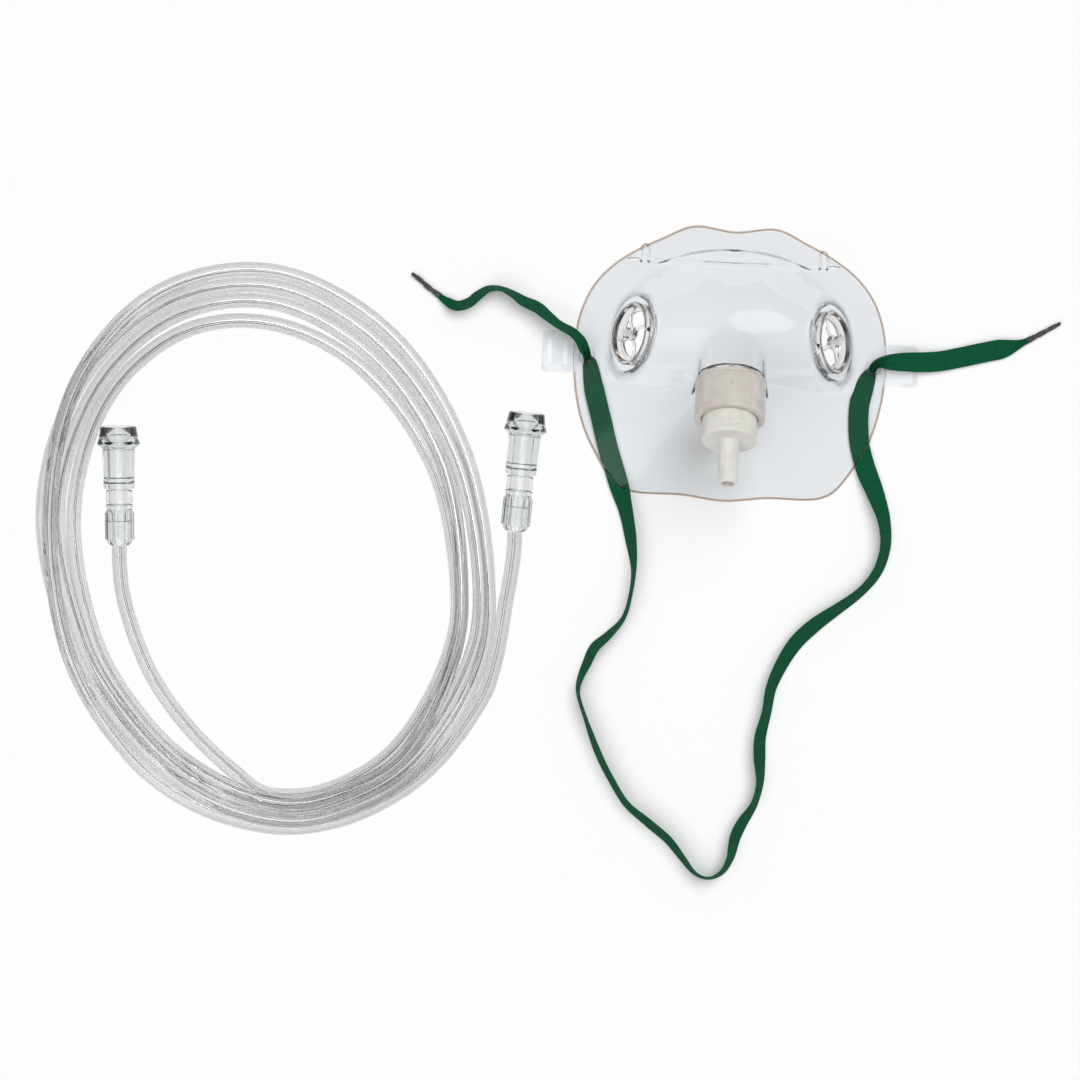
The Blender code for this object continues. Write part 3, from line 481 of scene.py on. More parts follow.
def supply_tube(material):
    """The whole tube, round outside, with a six-lobed bore from end to end."""
    line = coil_line()
    steps = 24
    angles = np.arange(steps) * 2 * math.pi / steps
    outer = np.stack([np.cos(angles), np.sin(angles)], axis=1) * TUBE_RADIUS * MM
    star = (1.55 + 0.42 * np.cos(6 * angles)) * MM
    inner = np.stack([np.cos(angles), np.sin(angles)], axis=1) * star[:, None]
    along = tangents(line)
    sides = carried_sides(line, (1.0, 0.0, 0.2))
    ups = np.cross(along, sides)
    section = np.vstack([outer, inner])
    points = (line[:, None] + section[None, :, :1] * sides[:, None]
              + section[None, :, 1:] * ups[:, None]).reshape(-1, 3)
    width = 2 * steps
    faces = []
    for i in range(len(line) - 1):
        a, b = i * width, (i + 1) * width
        for j in range(steps):
            k = (j + 1) % steps
            faces.append((a + j, a + k, b + k, b + j))
            faces.append((a + steps + k, a + steps + j, b + steps + j, b + steps + k))
    for end, flip in ((0, False), ((len(line) - 1) * width, True)):
        for j in range(steps):
            k = (j + 1) % steps
            face = (end + j, end + steps + j, end + steps + k, end + k)
            faces.append(face[::-1] if flip else face)
    mesh = bpy.data.meshes.new("supply_tube")
    mesh.from_pydata(points.tolist(), [], faces)
    tube = add_piece("supply_tube", mesh, material, "tubing",
                     ("tubing_coil", "tubing_tail_patient", "tubing_tail_supply"), True)
    return tube, line


# --- Tubing connectors ---------------------------------------------------------------------
CUFF_LENGTH, SLEEVE_LENGTH, BARREL_LENGTH, FUNNEL_LENGTH = 17.0, 5.6, 15.8, 9.2
CONNECTOR_HEIGHT, CONNECTOR_RISE = 5.9, 3.8


def connector(side, place, heading, material):
    """Ribbed cuff, sleeve and funnel-mouthed socket, resting on the lip of the funnel."""
    frame_matrix = (Matrix.Translation((place[0] * MM, place[1] * MM, CONNECTOR_HEIGHT * MM))
                    @ Matrix.Rotation(math.radians(heading), 4, "Z")
                    @ Matrix.Rotation(math.radians(CONNECTOR_RISE), 4, "X")
                    @ Matrix.Rotation(math.radians(-90), 4, "X")
                    @ Matrix.Scale(MM, 4))

    def ribbed(radius, height, angle):
        if radius < 5.2 or not 2.2 < height < 13.6:
            return radius
        rise = min(1.0, (height - 2.2) / 0.5, (13.6 - height) / 0.5)
        return radius + 0.42 * rise * max(0.0, math.cos(12 * angle)) ** 2

    cuff_profile = [(3.75, 16.7), (5.0, 16.7), (5.45, 16.2), (5.45, 15.4), (5.1, 14.8), (5.1, 14.2),
                    (5.45, 13.7), (5.45, 13.1), (5.45, 8), (5.45, 2.9), (5.45, 2.3), (4.9, 1.0),
                    (3.9, 0.1), (3.35, 0.1), (3.3, 1.0), (3.35, 9.6), (3.75, 10.0)]
    cuff = lathe(f"{side}_cuff_body", rounded(cuff_profile, 0.25, 2), frame_matrix, 144, ribbed)
    low = CUFF_LENGTH
    sleeve_profile = [(3.7, low + 5.3), (4.9, low + 5.3), (5.3, low + 4.7), (5.2, low + 2.6),
                      (5.4, low + 0.7), (5.2, low), (3.7, low)]
    sleeve = lathe(f"{side}_sleeve_body", rounded(sleeve_profile, 0.25, 3), frame_matrix, 96)
    low = CUFF_LENGTH + SLEEVE_LENGTH
    end = low + BARREL_LENGTH
    lip, mouth = end + 2.2, end + FUNNEL_LENGTH
    socket_profile = [
        (6.45, mouth), (7.1, mouth), (7.5, mouth - 2.6), (8.0, lip + 1.8), (8.5, lip + 0.3),
        (8.45, lip - 0.3), (7.6, lip - 0.7), (6.5, end), (6.35, end - 5), (6.1, low + 3.6),
        (6.3, low + 3.0), (6.0, low + 0.2), (3.9, low), (3.7, low + 0.3), (3.7, low + 2.4),
        (4.5, low + 2.7), (4.4, low + 4.3), (3.7, low + 4.8), (3.7, low + 9), (3.75, end + 1.2),
        (4.6, lip + 0.6), (5.6, lip + 3.2),
    ]
    socket = lathe(f"{side}_socket_body", rounded(socket_profile, 0.3, 3), frame_matrix, 128)
    made = []
    for part, mesh in (("cuff", cuff), ("sleeve", sleeve), ("socket", socket)):
        made.append(add_piece(f"{side}_{part}_clear", mesh, material, "tubing",
                              (f"{side}_{part}",), True, 40))
    return made


# --- Head strap ----------------------------------------------------------------------------
STRAP_LOOP = [
    (-55.6, -2.4, 0, 0), (-53.4, -12.6, 0, 0), (-50.2, -24, 0, 0), (-46.8, -36, 0, 0),
    (-43.4, -46, 0, 2), (-39.5, -58, 0, 45), (-36.2, -72, 0, 62), (-34.7, -85, 0, 80),
    (-36, -96.3, 0, 82), (-38.5, -104, 0, 80), (-43.6, -110.2, 0, 72), (-49, -115.4, 0, 66),
    (-51.6, -121.5, 0, 68), (-54.4, -129, 0, 76), (-54.7, -134.5, 0, 82), (-51.6, -143, 0, 82),
    (-46.9, -154.8, 0, 76), (-40.3, -167.3, 0, 74), (-33.6, -177, 0, 72), (-25, -184, 0, 68),
    (-16.6, -190.4, 0, 70), (-10.5, -197.6, 0, 74), (-5, -203.6, 0, 80), (0.5, -205.4, 0, 82),
    (5.6, -202.8, 0, 76), (8.6, -197, 0, 70), (10.2, -189, 0, 60), (13, -182.3, 0, 60),
    (17.2, -175, 0, 70), (19.2, -166.6, 0, 68), (18.6, -157, 0, 56), (18.6, -148, 0, 58),
    (20.6, -138, 0, 64), (22.2, -128, 0, 58), (25.8, -118.8, 0, 50), (31.4, -109.6, 0, 46),
    (38, -102.8, 0, 48), (47, -95.8, 0, 58), (56.6, -88, 0, 64), (62.4, -80, 0, 62),
    (65.2, -70, 0, 60), (64.2, -60, 0, 52), (60.6, -49.6, 0, 30), (56, -39, 0, 5),
    (52.9, -28, 0, 0), (52.2, -16, 0, 0), (53.6, -8, 0, 0), (55.6, -2.4, 0, 0),
]
STRAP_END_LEFT = [
    (-58.6, 4.0, 5.0, 30), (-60.2, 7.0, 4.2, 46), (-63.4, 10, 3.2, 60), (-68.8, 12.6, 2.2, 66),
    (-73.6, 16, 1.4, 62), (-78, 19.4, 0.2, 58), (-83.6, 21.6, 0, 62), (-88.4, 24.4, 0, 72),
    (-93, 26.2, 0, 76), (-97.6, 25.8, 0, 70), (-101.6, 23, 0, 62), (-105, 20, 0, 60),
    (-109.8, 18.6, 0, 50), (-114.2, 20.4, 0, 20), (-117.4, 22.6, 0, 0),
]
STRAP_TIP_LEFT = [(-117.0, 22.4), (-121.4, 25.4), (-125, 28.4), (-128.7, 31.0)]
STRAP_END_RIGHT = [
    (59.9, 3.2, 5.0, 6), (64, 3.6, 4.2, 6), (70, 4, 3.2, 4), (76.6, 4.2, 1.9, 3),
    (84, 5, 0.5, 3), (91, 6.6, 0, 4), (98, 8.4, 0, 6), (104, 9.9, 0, 8), (109.4, 11.2, 0, 6),
    (114.2, 12.8, 0, 2), (119, 14.9, 0, 0),
]
STRAP_TIP_RIGHT = [(118.7, 14.8), (123.6, 17.6), (127.6, 20.0), (131.7, 22.4)]
STRAP_WIDTH, STRAP_THICKNESS, STRAP_TAPER, STRAP_CLEARANCE = 8.0, 0.8, 0.28, 0.55
STRAP_STEP, TIP_STEP, TIP_HEIGHT = 0.8, 0.35, 1.05


def strap_rows(route, gathers):
    """Rows of x, y, z, lean, gather for a strap route; gathers go with the first points."""
    rows = []
    for number, (x, y, support, lean) in enumerate(route):
        tilt = math.radians(lean)
        rise = STRAP_WIDTH / 2 * math.sin(tilt) + STRAP_THICKNESS / 2 * math.cos(tilt)
        gather = gathers[number] if number < len(gathers) else 0.0
        rows.append((x, y, support + rise + STRAP_CLEARANCE, tilt, gather))
    return rows


def strap(name, rows, material, nodes, taper_end):
    """A woven ribbon; where gather is 1 it is pleated together, as in an eyelet."""
    spaced = resample(rows, STRAP_STEP)
    line = spaced[:, :3]
    flow = np.gradient(spaced[:, :2], axis=0)
    flow = unit(flow + 1e-9)
    tilt, gather = spaced[:, 3], np.clip(spaced[:, 4], 0, 1)
    sides = np.stack([-flow[:, 1] * np.cos(tilt), flow[:, 0] * np.cos(tilt), np.sin(tilt)], axis=1)
    run = np.arange(len(line)) * STRAP_STEP
    width = np.ones(len(line))
    if taper_end:
        share = np.clip((run / run[-1] - 0.8) / 0.2, 0, 1)
        width = 1 - (1 - STRAP_TAPER) * share * share * (3 - 2 * share)
    across = 23
    v = np.linspace(-1, 1, across)
    half = STRAP_WIDTH / 2 * width
    spread = half[:, None] * v[None] * (1 - 0.58 * gather[:, None])
    wander = 0.10 * np.sin(run / 7.3)[:, None] * v[None] + 0.06 * np.sin(run / 3.1 + 1)[:, None]
    pleat = gather[:, None] * 0.95 * np.cos(math.pi * 2.6 * v[None] + 0.5 * np.sin(run / 2.3)[:, None])
    rise = 0.14 * (v[None] ** 2 - 0.3) * width[:, None] + pleat + wander * (1 - gather[:, None])
    thin = STRAP_THICKNESS / 2 * (1 - 0.35 * np.abs(v[None]) ** 8)
    top = np.stack([spread, rise + thin], axis=2)
    bottom = np.stack([spread, rise - thin], axis=2)[:, ::-1]
    sections = np.concatenate([top, bottom], axis=1)
    vs = np.concatenate([v, v[::-1]]) * 0.5 + 0.5
    uv = [(r * MM, float(t)) for r in run for t in vs]
    mesh = sweep(name, line * MM, sides, sections * MM, uv)
    obj = add_piece(name, mesh, material, "mask", nodes, False, 50)
    return obj, line * MM


def strap_end_tip(side, route, material):
    """A lumpy melted end, flattened and closing to a blunt point."""
    line = resample([(x, y, TIP_HEIGHT) for x, y in route], TIP_STEP)
    run = np.linspace(0, 1, len(line))
    angles = np.arange(20) * 2 * math.pi / 20
    lump = 1 + 0.10 * np.sin(run * 19)[:, None] * np.cos(2 * angles)[None]
    lump = lump + 0.05 * np.sin(run * 41)[:, None]
    close = np.sqrt(np.clip((1 - run) / 0.05, 0.02, 1))
    wide = (1.12 - 0.35 * run) * close
    tall = (0.62 + 0.16 * np.sin(run * 3)) * close
    sections = np.stack([wide[:, None] * np.cos(angles)[None] * lump,
                         tall[:, None] * np.sin(angles)[None] * lump], axis=2)
    flow = tangents(line)
    sides = np.stack([-flow[:, 1], flow[:, 0], np.zeros(len(line))], axis=1)
    mesh = sweep(f"{side}_tip", line * MM, sides, sections * MM)
    return add_piece(f"{side}_sealed_tip", mesh, material, "mask", (f"strap_tip_{side}",))


def head_strap(cloth, seal):
    rows = strap_rows(STRAP_LOOP, (0.45,))
    rows[-1] = (*rows[-1][:4], 0.45)
    lift_left = [(-57.3, 1.3, 6.2, 0.0, 1.0), (-57.25, 0.9, 4.0, 0.0, 1.0), (-56.7, -0.3, 1.9, 0.0, 0.9)]
    lift_right = [(56.7, -0.3, 1.9, 0.0, 0.9), (57.25, 0.9, 4.0, 0.0, 1.0), (57.3, 1.3, 6.2, 0.0, 1.0)]
    loop, loop_line = strap("strap_loop", lift_left + rows + lift_right, cloth,
                            ("head_strap", "strap_bunch_left", "strap_bunch_right"), False)
    left = [(-57.2, 1.0, 4.6, 0.1, 1.0), (-57.35, 1.5, 6.6, 0.2, 1.0)]
    left += strap_rows(STRAP_END_LEFT, (0.8, 0.45, 0.15))
    right = [(57.2, 1.0, 4.6, 0.0, 1.0), (57.6, 1.7, 6.4, 0.05, 1.0)]
    right += strap_rows(STRAP_END_RIGHT, (0.85, 0.35, 0.1))
    end_left, left_line = strap("strap_loose_left", left, cloth, ("strap_end_left",), True)
    end_right, right_line = strap("strap_loose_right", right, cloth, ("strap_end_right",), True)
    tip_left = strap_end_tip("left", STRAP_TIP_LEFT, seal)
    tip_right = strap_end_tip("right", STRAP_TIP_RIGHT, seal)


# --- Mask shell ----------------------------------------------------------------------------
HALF_WIDTH, HALF_HEIGHT, SHELL_WALL, BEAD_RADIUS, CROWN_HEIGHT = 61.8, 54.2, 1.2, 0.9, 38.5
PORT_START = (0.0, -7.4, 34.6)
PORT_TILT = math.radians(65)
SPOUT_RADIUS, SPOUT_BORE, NECK_RADIUS, NECK_LENGTH = 13.6, 10.8, 12.2, 9.0
COLLAR_RADIUS, COLLAR_LENGTH = 14.0, 17.2
ADAPTER_RADIUS = 11.0
PORT_X, PORT_Y, PORT_RADIUS = 40.0, 10.0, 12.6
EYELET_X, EYELET_Y = 57.3, 1.2
LUG_X, LUG_Y = 35.4, 42.4
TAB_LENGTH, TAB_WIDTH, TAB_THICKNESS, TAB_HEIGHT = 14.5, 16.4, 1.2, 1.3
RIM_RISE, FLANGE_SLOPE, FLANGE_WIDTH = 2.6, 0.42, 11.5
BRIDGE_BASE, BRIDGE_TOP, BRIDGE_REACH, BRIDGE_HEIGHT = 38.4, 46.2, 35.0, 2.3
SPOUT_DRAFT, SPOUT_DOME = 8.0, 36.0
RIM_SHAPE = [
    (0.0, 0.967), (0.26, 1.0), (0.46, 0.905), (0.647, 0.795), (0.793, 0.672), (0.9, 0.525),
    (0.965, 0.355), (0.997, 0.165), (1.0, -0.055), (0.98, -0.26), (0.93, -0.48),
    (0.85, -0.67), (0.745, -0.85), (0.66, -0.935), (0.534, -0.968), (0.275, -0.968),
    (0.0, -1.0),
]
CROWN_SHAPE = [
    (1.05, 0.4), (0.84, 0.54), (0.7, 0.7), (0.46, 0.92), (0.22, 1.0), (0.0, 0.88),
    (-0.24, 0.52), (-0.55, 0.29), (-0.88, 0.14), (-1.05, 0.1),
]


def rim_outline():
    """The rim as a table of distances from the middle, by rising angle."""
    right = [(x * HALF_WIDTH, y * HALF_HEIGHT, 0.0) for x, y in RIM_SHAPE]
    left = [(-x, y, 0.0) for x, y, _ in right[1:-1]]
    outline = left + [right[-1]] + right[-2::-1]
    looped = outline[-3:] + outline + outline[:3]
    fine = resample(looped, 0.4)
    angle = np.unwrap(np.arctan2(fine[:, 1], fine[:, 0]))
    order = np.argsort(angle)
    middle = (angle[0] + angle[-1]) / 2
    return middle, angle[order], np.hypot(fine[:, 0], fine[:, 1])[order]


RIM_MIDDLE, RIM_ANGLE, RIM_REACH = rim_outline()
CROWN = resample([(y * HALF_HEIGHT, h * CROWN_HEIGHT, 0.0) for y, h in CROWN_SHAPE], 0.8)


def smooth_step(value, low, high):
    t = np.clip((value - low) / (high - low), 0, 1)
    return t * t * (3 - 2 * t)


def soft_max(a, b, blend):
    return blend * np.logaddexp(a / blend, b / blend)


def soft_min(a, b, blend):
    return -soft_max(-a, -b, blend)


def rim_reach(angle):
    wrapped = (angle - RIM_MIDDLE + math.pi) % (2 * math.pi) + RIM_MIDDLE - math.pi
    return np.interp(wrapped, RIM_ANGLE, RIM_REACH)


def rim_lift(angle):
    """How far the rim stands off the table: at the nose and at the lower corners."""
    lean = np.degrees(np.arcsin(np.sin(angle)))
    corner = np.maximum(0.0, 1 - np.abs(lean + 47) / 42)
    return RIM_RISE * smooth_step(lean, 50, 88) + RIM_RISE * smooth_step(corner, 0, 1)


def spout_top(x, y):
    """Top of the spout, a tilted cylinder with a domed back, closed by its front face."""
    across = np.hypot(x, np.maximum(0.0, y - 0.5) * SPOUT_RADIUS / SPOUT_DOME)
    reach = np.minimum(across, 0.955 * SPOUT_RADIUS)
    axis = PORT_START[2] - (y - PORT_START[1]) / math.tan(PORT_TILT)
    side = np.sqrt(SPOUT_RADIUS ** 2 - reach ** 2) / math.sin(PORT_TILT)
    roof = axis + side - SPOUT_DRAFT * (across - reach)
    front = PORT_START[2] + (math.sin(PORT_TILT) * (y - PORT_START[1]) - 0.3) / math.cos(PORT_TILT)
    return soft_min(roof, front, 0.25)


def shell_height(x, y):
    """Height of the shell's outer surface, in millimetres, over points in plan."""
    angle = np.arctan2(y, x)
    inset = rim_reach(angle) - np.hypot(x, y)
    foot = rim_lift(angle) + BEAD_RADIUS + SHELL_WALL / 2
    up = np.sin(angle)
    width = FLANGE_WIDTH + (np.where(up > 0, 8.0, 4.0) - FLANGE_WIDTH) * up ** 2
    slope = 1.9 - 0.9 * smooth_step(-up, 0.3, 0.9)
    flange = foot + FLANGE_SLOPE * inset
    wall = foot + FLANGE_SLOPE * width + slope * (inset - width)
    crown = np.interp(-y, -CROWN[:, 0], CROWN[:, 1]) - x * x / 160
    return soft_max(flange, soft_min(wall, crown, 2.0), 0.5)


def nose_bridge(x, y):
    """A shallow lens pressed up over the nose, between the shoulder and the arch above it."""
    arch = BRIDGE_TOP - (x / BRIDGE_REACH) ** 2 * 8.4
    inside = smooth_step(arch - y, -0.6, 0.9) * smooth_step(y - BRIDGE_BASE, -0.6, 2.2)
    return BRIDGE_HEIGHT * inside * np.clip(1 - (np.abs(x) / BRIDGE_REACH) ** 2, 0, 1) ** 0.5


def skin(x, y):
    plain = port_bosses(x, y, shell_height(x, y) + nose_bridge(x, y))
    return soft_max(plain, spout_top(x, y), 1.1)


def port_place(x, y):
    """Shell point and matrix, in millimetres, with Z along the shell's normal."""
    step = 2.0
    slope_x = float(shell_height(x + step, y) - shell_height(x - step, y)) / (2 * step)
    slope_y = float(shell_height(x, y + step) - shell_height(x, y - step)) / (2 * step)
    normal = Vector((-slope_x, -slope_y, 1.0)).normalized()
    across = Vector((0.0, 1.0, 0.0)).cross(normal).normalized()
    along = normal.cross(across)
    turned = Matrix((across, along, normal)).transposed().to_4x4()
    return Matrix.Translation((x, y, float(shell_height(x, y)))) @ turned


def port_bosses(x, y, plain):
    """The shell with a flat round seat under each exhalation port."""
    for sign in (-1, 1):
        place = port_place(sign * PORT_X, PORT_Y)
        centre, normal = place.translation, place.col[2]
        plane = centre.z - (normal.x * (x - centre.x) + normal.y * (y - centre.y)) / normal.z
        gap = np.sqrt((x - centre.x) ** 2 + (y - centre.y) ** 2 + (plane - centre.z) ** 2)
        share = 1 - smooth_step(gap, PORT_RADIUS + 2.2, PORT_RADIUS + 7.0)
        plain = plain + (plane - plain) * share
    return plain


TO_METRES = Matrix.Scale(MM, 4)
INLET = (Matrix.Translation(PORT_START) @ Matrix.Rotation(PORT_TILT, 4, "X"))


def shell_mesh():
    """Outer skin, rolled rim and inner skin in one closed loft."""
    spokes, rings = 480, 150
    angle = np.arange(spokes) * 2 * math.pi / spokes
    reach = rim_reach(angle)
    shares = 1 - np.linspace(0, 1, rings + 1)[:-1]
    shares = np.concatenate([[1.0, 0.997, 0.993], shares[1:]])
    x = reach[None] * np.cos(angle)[None] * shares[:, None]
    y = reach[None] * np.sin(angle)[None] * shares[:, None]
    z = skin(x, y)
    outer = np.stack([x, y, z], axis=2)
    along = np.roll(outer, -1, 1) - np.roll(outer, 1, 1)
    inward = np.gradient(outer, axis=0)
    normal = unit(np.cross(along, inward))
    normal *= np.sign(normal[:, :, 2:])
    inner = outer - normal * SHELL_WALL
    inner[0] = outer[0] - np.array([0, 0, SHELL_WALL])
    lift = rim_lift(angle) + BEAD_RADIUS
    out = np.stack([np.cos(angle), np.sin(angle)], axis=1)
    bead = []
    for degrees in np.linspace(70, -70, 9):
        turn = math.radians(degrees)
        ring = np.zeros((spokes, 3))
        ring[:, :2] = out * (reach + BEAD_RADIUS * math.cos(turn) - 0.1)[:, None]
        ring[:, 2] = lift + BEAD_RADIUS * math.sin(turn)
        bead.append(ring)
    rows = [row for row in outer[::-1]] + bead + [row for row in inner]
    points = np.concatenate(rows)
    faces = ring_faces(len(rows), spokes)
    top = len(points)
    points = np.vstack([points, outer[-1].mean(0)[None], inner[-1].mean(0)[None]])
    for j in range(spokes):
        k = (j + 1) % spokes
        faces.append((top, k, j))
        base = (len(rows) - 1) * spokes
        faces.append((top + 1, base + j, base + k))
    return mesh_from("mask_skin", points * MM, faces)


def rounded_plate(name, length, width, thickness, corner, matrix, both=False):
    """Flat plate along X from 0 to length; both rounds its near corners as well."""
    shape = bmesh.new()
    outline = [(0.0 if not both else corner, -width / 2)]

    def round_off(x, y, start, first):
        for step in range(first, 9):
            turn = math.radians(start + 90 * step / 8)
            outline.append((x + corner * math.cos(turn), y + corner * math.sin(turn)))

    round_off(length - corner, corner - width / 2, -90, 0)
    round_off(length - corner, width / 2 - corner, 0, 0)
    outline.append((0.0 if not both else corner, width / 2))
    if both:
        round_off(corner, width / 2 - corner, 90, 1)
        round_off(corner, corner - width / 2, 180, 1)
        outline = outline[:-1]
    low = [shape.verts.new((x, y, -thickness / 2)) for x, y in outline]
    high = [shape.verts.new((x, y, thickness / 2)) for x, y in outline]
    shape.faces.new(low[::-1])
    shape.faces.new(high)
    for i in range(len(outline)):
        j = (i + 1) % len(outline)
        shape.faces.new((low[i], low[j], high[j], high[i]))
    edges = [e for e in shape.edges if abs(e.verts[0].co.z - e.verts[1].co.z) < 1e-6]
    bmesh.ops.bevel(shape, geom=edges, offset=0.25, segments=2, affect="EDGES", profile=0.5)
    bmesh.ops.recalc_face_normals(shape, faces=shape.faces)
    bmesh.ops.transform(shape, matrix=TO_METRES @ matrix, verts=shape.verts)
    mesh = bpy.data.meshes.new(name)
    shape.to_mesh(mesh)
    shape.free()
    return mesh


def rod(name, points, radius, matrix):
    line = resample(points, 0.3)
    placed = np.array([TO_METRES @ matrix @ Vector(p) for p in line])
    angles = np.arange(14) * 2 * math.pi / 14
    section = np.stack([np.cos(angles), np.sin(angles)], axis=1) * radius * MM
    sections = np.repeat(section[None], len(line), axis=0)
    return sweep(name, placed, carried_sides(placed, (0.3, 0.5, 0.8)), sections)


def shell_additions():
    """Meshes to add to the shell (neck, tabs, eyelets, lugs) and to cut from it."""
    unions, cuts = [], []
    neck = [(SPOUT_BORE, -1.0), (SPOUT_BORE, NECK_LENGTH), (NECK_RADIUS - 0.4, NECK_LENGTH),
            (NECK_RADIUS, NECK_LENGTH - 0.5), (NECK_RADIUS, 7.6), (NECK_RADIUS + 0.38, 7.4),
            (NECK_RADIUS + 0.38, 6.2), (NECK_RADIUS, 5.7), (NECK_RADIUS, -1.0)]
    unions.append(lathe("neck", neck, TO_METRES @ INLET, 128))
    bore = [(0.0001, -5.0), (SPOUT_BORE, -5.0), (SPOUT_BORE, 2.0), (0.0001, 2.0)]
    cuts.append(lathe("bore", bore, TO_METRES @ INLET, 128))
    for sign in (-1, 1):
        flip = Matrix.Identity(4) if sign > 0 else Matrix.Rotation(math.pi, 4, "Z")
        place = Matrix.Translation((sign * (HALF_WIDTH - 1.0), EYELET_Y + 1.0, TAB_HEIGHT)) @ flip
        unions.append(rounded_plate("tab", TAB_LENGTH, TAB_WIDTH, TAB_THICKNESS, 2.2, place))
        for share in (0.3, 0.76):
            out = sign * (HALF_WIDTH + (TAB_LENGTH - 1.0) * share)
            spot = Matrix.Translation((out, EYELET_Y + 1.0, TAB_HEIGHT))
            spot = spot @ Matrix.Translation((-0.8, 0, 0))
            cuts.append(rounded_plate("slot", 1.6, 9.8, 6.0, 0.7, spot, True))
        top = float(shell_height(np.array(sign * EYELET_X), np.array(EYELET_Y)))
        spot = Matrix.Translation((sign * EYELET_X, EYELET_Y, top))
        ring = rounded([(2.0, 1.0), (3.05, 1.0), (3.2, -1.1), (2.0, -1.1)], 0.3, 3)
        unions.append(lathe("eyelet", ring, TO_METRES @ spot, 48))
        hole = [(0.0001, -5.0), (2.1, -5.0), (2.1, 5.0), (0.0001, 5.0)]
        cuts.append(lathe("eyelet_hole", hole, TO_METRES @ spot, 48))
        place = port_place(sign * LUG_X, LUG_Y)
        arch = [(-1.5, -3.2, -0.7), (-1.5, -3.0, 0.9), (-1.5, -2.0, 1.5), (-1.5, 1.2, 1.7),
                (-1.1, 2.9, 1.7), (0, 3.7, 1.7), (1.1, 2.9, 1.7), (1.5, 1.2, 1.7),
                (1.5, -2.0, 1.5), (1.5, -3.0, 0.9), (1.5, -3.2, -0.7)]
        unions.append(rod("lug", arch, 0.5, place))
        slit = Matrix.Translation((sign * 4.6 - 2.6, -1.9, 0.0))
        cuts.append(rounded_plate("slit", 5.2, 0.9, 6.0, 0.42, place @ slit, True))
        hole = [(0.0001, -2.6), (PORT_RADIUS + 0.3, -2.6), (PORT_RADIUS + 0.3, 8.0), (0.0001, 8.0)]
        cuts.append(lathe("port_hole", hole, TO_METRES @ port_place(sign * PORT_X, PORT_Y), 128))
    return unions, cuts


def mask_shell(material, rim_material):
    unions, cuts = shell_additions()
    mesh = combined("mask_clear", shell_mesh(), unions, cuts)
    piece = add_piece("mask_clear", mesh, material, "mask", ("mask_shell",), True, 28)
    mesh.materials.append(rim_material)
    middle = np.zeros(len(mesh.polygons) * 3)
    mesh.polygons.foreach_get("center", middle)
    middle = middle.reshape(-1, 3) / MM
    angle = np.arctan2(middle[:, 1], middle[:, 0])
    past = np.hypot(middle[:, 0], middle[:, 1]) - rim_reach(angle)
    rim = (past > -0.25) & (past < BEAD_RADIUS + 0.1)
    mesh.polygons.foreach_set("material_index", rim.astype(int))
    return piece


def exhalation_port(side, material):
    """Seat ring with four curved spokes and a knobbed hub."""
    sign = -1 if side == "left" else 1
    place = port_place(sign * PORT_X, PORT_Y)
    outer = rounded([(10.9, 0.7), (11.2, 1.4), (12.3, 1.4), (12.6, 0.8), (12.6, -3.2), (10.7, -3.2),
                     (10.7, 0.2)], 0.35, 4)
    ring = lathe("ring", outer, TO_METRES @ place, 128)
    unions = [lathe("seat", rounded([(9.3, -2.2), (10.9, -2.2), (10.9, -3.1), (9.3, -3.1)], 0.25, 3),
                    TO_METRES @ place, 96)]
    for number in range(4):
        turned = place @ Matrix.Rotation(math.radians(12 + 90 * number), 4, "Z")
        bar = [(1.5, 0.0, -0.4), (3.6, 0.9, -0.4), (6.0, 1.5, -0.5), (8.3, 1.0, -0.6), (11.1, -0.9, -0.7)]
        unions.append(rod("spoke", bar, 0.72, turned))
    knob = [(0.001, 3.4), (0.8, 3.3), (1.55, 2.95), (2.1, 2.35), (2.28, 1.8), (2.0, 1.2), (1.4, 0.75),
            (1.2, 0.5), (2.5, 0.35), (2.8, 0.1), (2.8, -1.0), (2.5, -1.3), (0.001, -1.3)]
    unions.append(lathe("knob", knob, TO_METRES @ place, 48))
    mesh = combined(f"port_{side}", ring, unions, [])
    return add_piece(f"port_{side}_clear", mesh, material, "mask",
                     (f"exhalation_port_{side}",), True, 35)


# --- Swivel collar and adapter -------------------------------------------------------------
def swivel_collar(material):
    """Collar with a groove near its back edge and a small square gate mark."""
    bore = NECK_RADIUS + 0.7
    profile = [
        (11.3, COLLAR_LENGTH), (COLLAR_RADIUS - 0.5, COLLAR_LENGTH),
        (COLLAR_RADIUS, COLLAR_LENGTH - 0.6),
        (COLLAR_RADIUS, 1.9), (COLLAR_RADIUS - 0.35, 1.7), (COLLAR_RADIUS - 0.35, 1.2),
        (COLLAR_RADIUS, 1.0), (COLLAR_RADIUS, 0.5), (COLLAR_RADIUS - 0.5, 0.0), (12.5, 0.0),
        (12.5, 1.6), (bore, 2.2), (bore, 9.6), (11.3, 9.6),
    ]
    body = lathe("collar", rounded(profile, 0.3, 3), TO_METRES @ INLET, 160)
    gate = INLET @ Matrix.Translation((0.0, COLLAR_RADIUS - 0.15, 7.4))
    gate = gate @ Matrix.Rotation(math.radians(-90), 4, "X") @ Matrix.Rotation(math.radians(45), 4, "Z")
    mark = rounded_plate("gate", 1.2, 1.2, 0.6, 0.2, gate @ Matrix.Translation((-0.6, 0, 0)), True)
    sunk = gate @ Matrix.Translation((-0.3, 0, 0.35))
    dent = rounded_plate("gate_dent", 0.6, 0.6, 0.6, 0.12, sunk, True)
    mesh = combined("collar_body", body, [mark], [dent])
    return add_piece("collar_body", mesh, material, "collar",
                     ("swivel_collar",), False, 35)


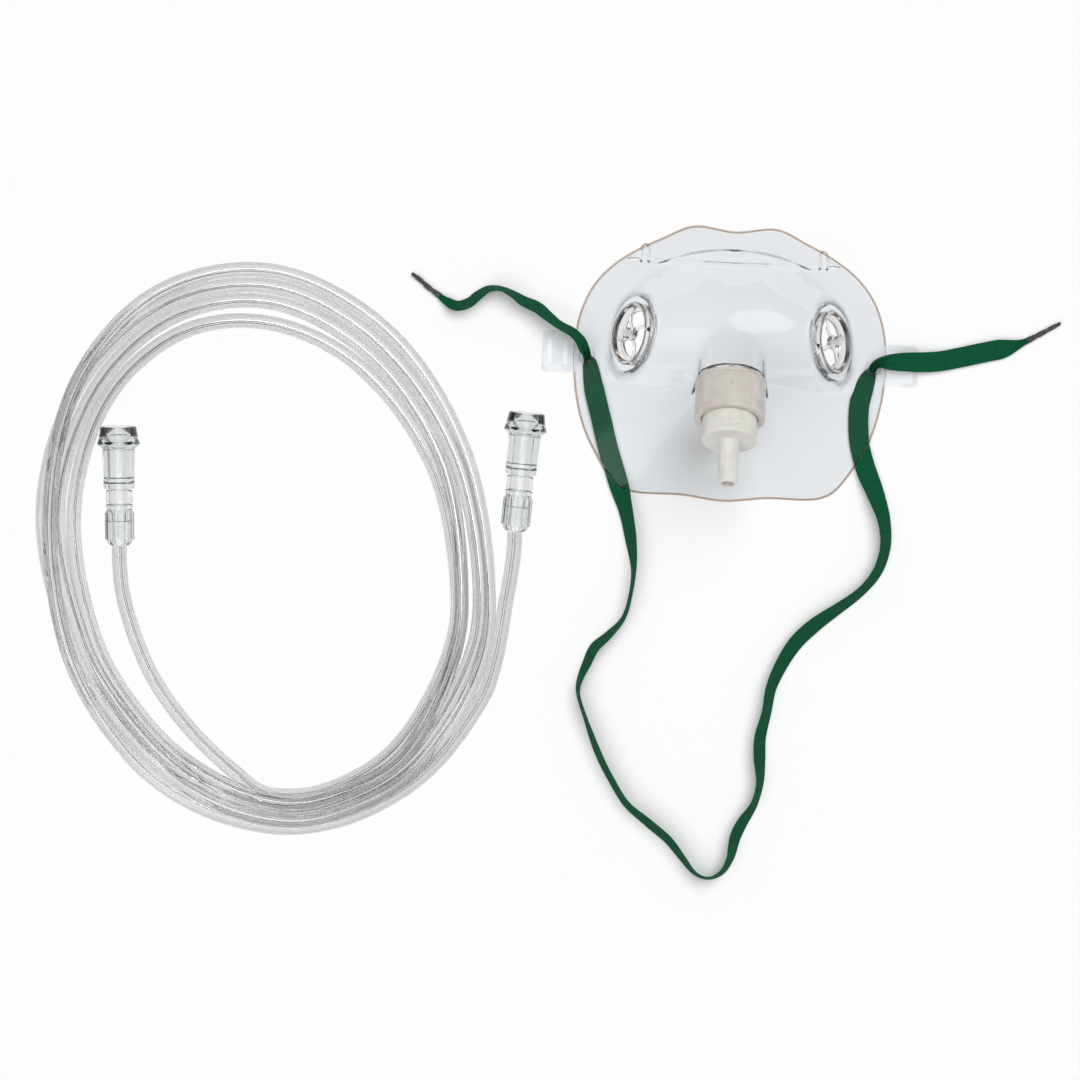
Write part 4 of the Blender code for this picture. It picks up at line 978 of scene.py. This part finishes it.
def inlet_adapter(material):
    """Stepped cup and hose nipple, with a raised pad on the cup."""
    start, end, tip = 9.3, 26.6, 45.2
    profile = [
        (2.3, tip - 0.1), (2.9, tip), (3.35, tip - 0.25), (3.6, tip - 0.9), (3.62, tip - 1.6),
        (3.85, tip - 2.2), (3.95, end + 1.6), (4.3, end + 0.4), (5.2, end),
        (ADAPTER_RADIUS - 0.5, end), (ADAPTER_RADIUS, end - 0.5), (ADAPTER_RADIUS, start),
        (9.4, start), (9.4, end - 2.0), (2.3, end - 2.0),
    ]
    body = lathe("adapter", rounded(profile, 0.22, 3), TO_METRES @ INLET, 144)
    pad = Matrix.Translation((1.7, ADAPTER_RADIUS - 0.65, COLLAR_LENGTH + 3.9))
    pad = pad @ Matrix.Rotation(math.radians(-90), 4, "X") @ Matrix.Rotation(math.radians(90), 4, "Z")
    pad = INLET @ pad @ Matrix.Translation((-2.7, 0, 0))
    block = rounded_plate("pad", 5.4, 4.4, 2.2, 0.5, pad, True)
    mesh = combined("adapter_body", body, [block], [])
    return add_piece("adapter_body", mesh, material, "adapter",
                     ("inlet_adapter",), False, 35)


# --- Build ---------------------------------------------------------------------------------
camera_and_light()
floor()

tube_clear = clear_plastic("tube_clear", (0.04, 0.0, 0.02), 0.03, 1.45, 60, 1600, 95)
connector_clear = clear_plastic("connector_clear", (0.0, 0.12, 0.14), 0.02, 1.55, 90, 1800, 42)
mask_clear = clear_plastic("mask_clear", (0.0, 0.16, 0.3), 0.035, 1.42, 28, 900, 125)
rim_clear = clear_plastic("rim_clear", (0.4, 0.2, 0.0), 0.06, 1.42, 60, 900, 650)
port_clear = clear_plastic("port_clear", (0.12, 0.06, 0.0), 0.05, 1.5, 120, 1500, 90)
DRAW_LINES = (1, 0.12, 0.12)
collar_white = cloudy_plastic("collar_white", (0.66, 0.63, 0.58), (0.58, 0.54, 0.485), 0.32, DRAW_LINES)
adapter_white = cloudy_plastic("adapter_white", (0.78, 0.775, 0.72), (0.70, 0.695, 0.64), 0.34, DRAW_LINES)

tube, tube_line = supply_tube(tube_clear)
ends = connector("patient", (-240.2, -82.9), 3.0, connector_clear)
ends += connector("supply", (-82.9, -70.3), -3.4, connector_clear)
head_strap(strap_cloth(), strap_seal())

mask_shell(mask_clear, rim_clear)
for port_side in ("left", "right"):
    exhalation_port(port_side, port_clear)
swivel_collar(collar_white)
inlet_adapter(adapter_white)
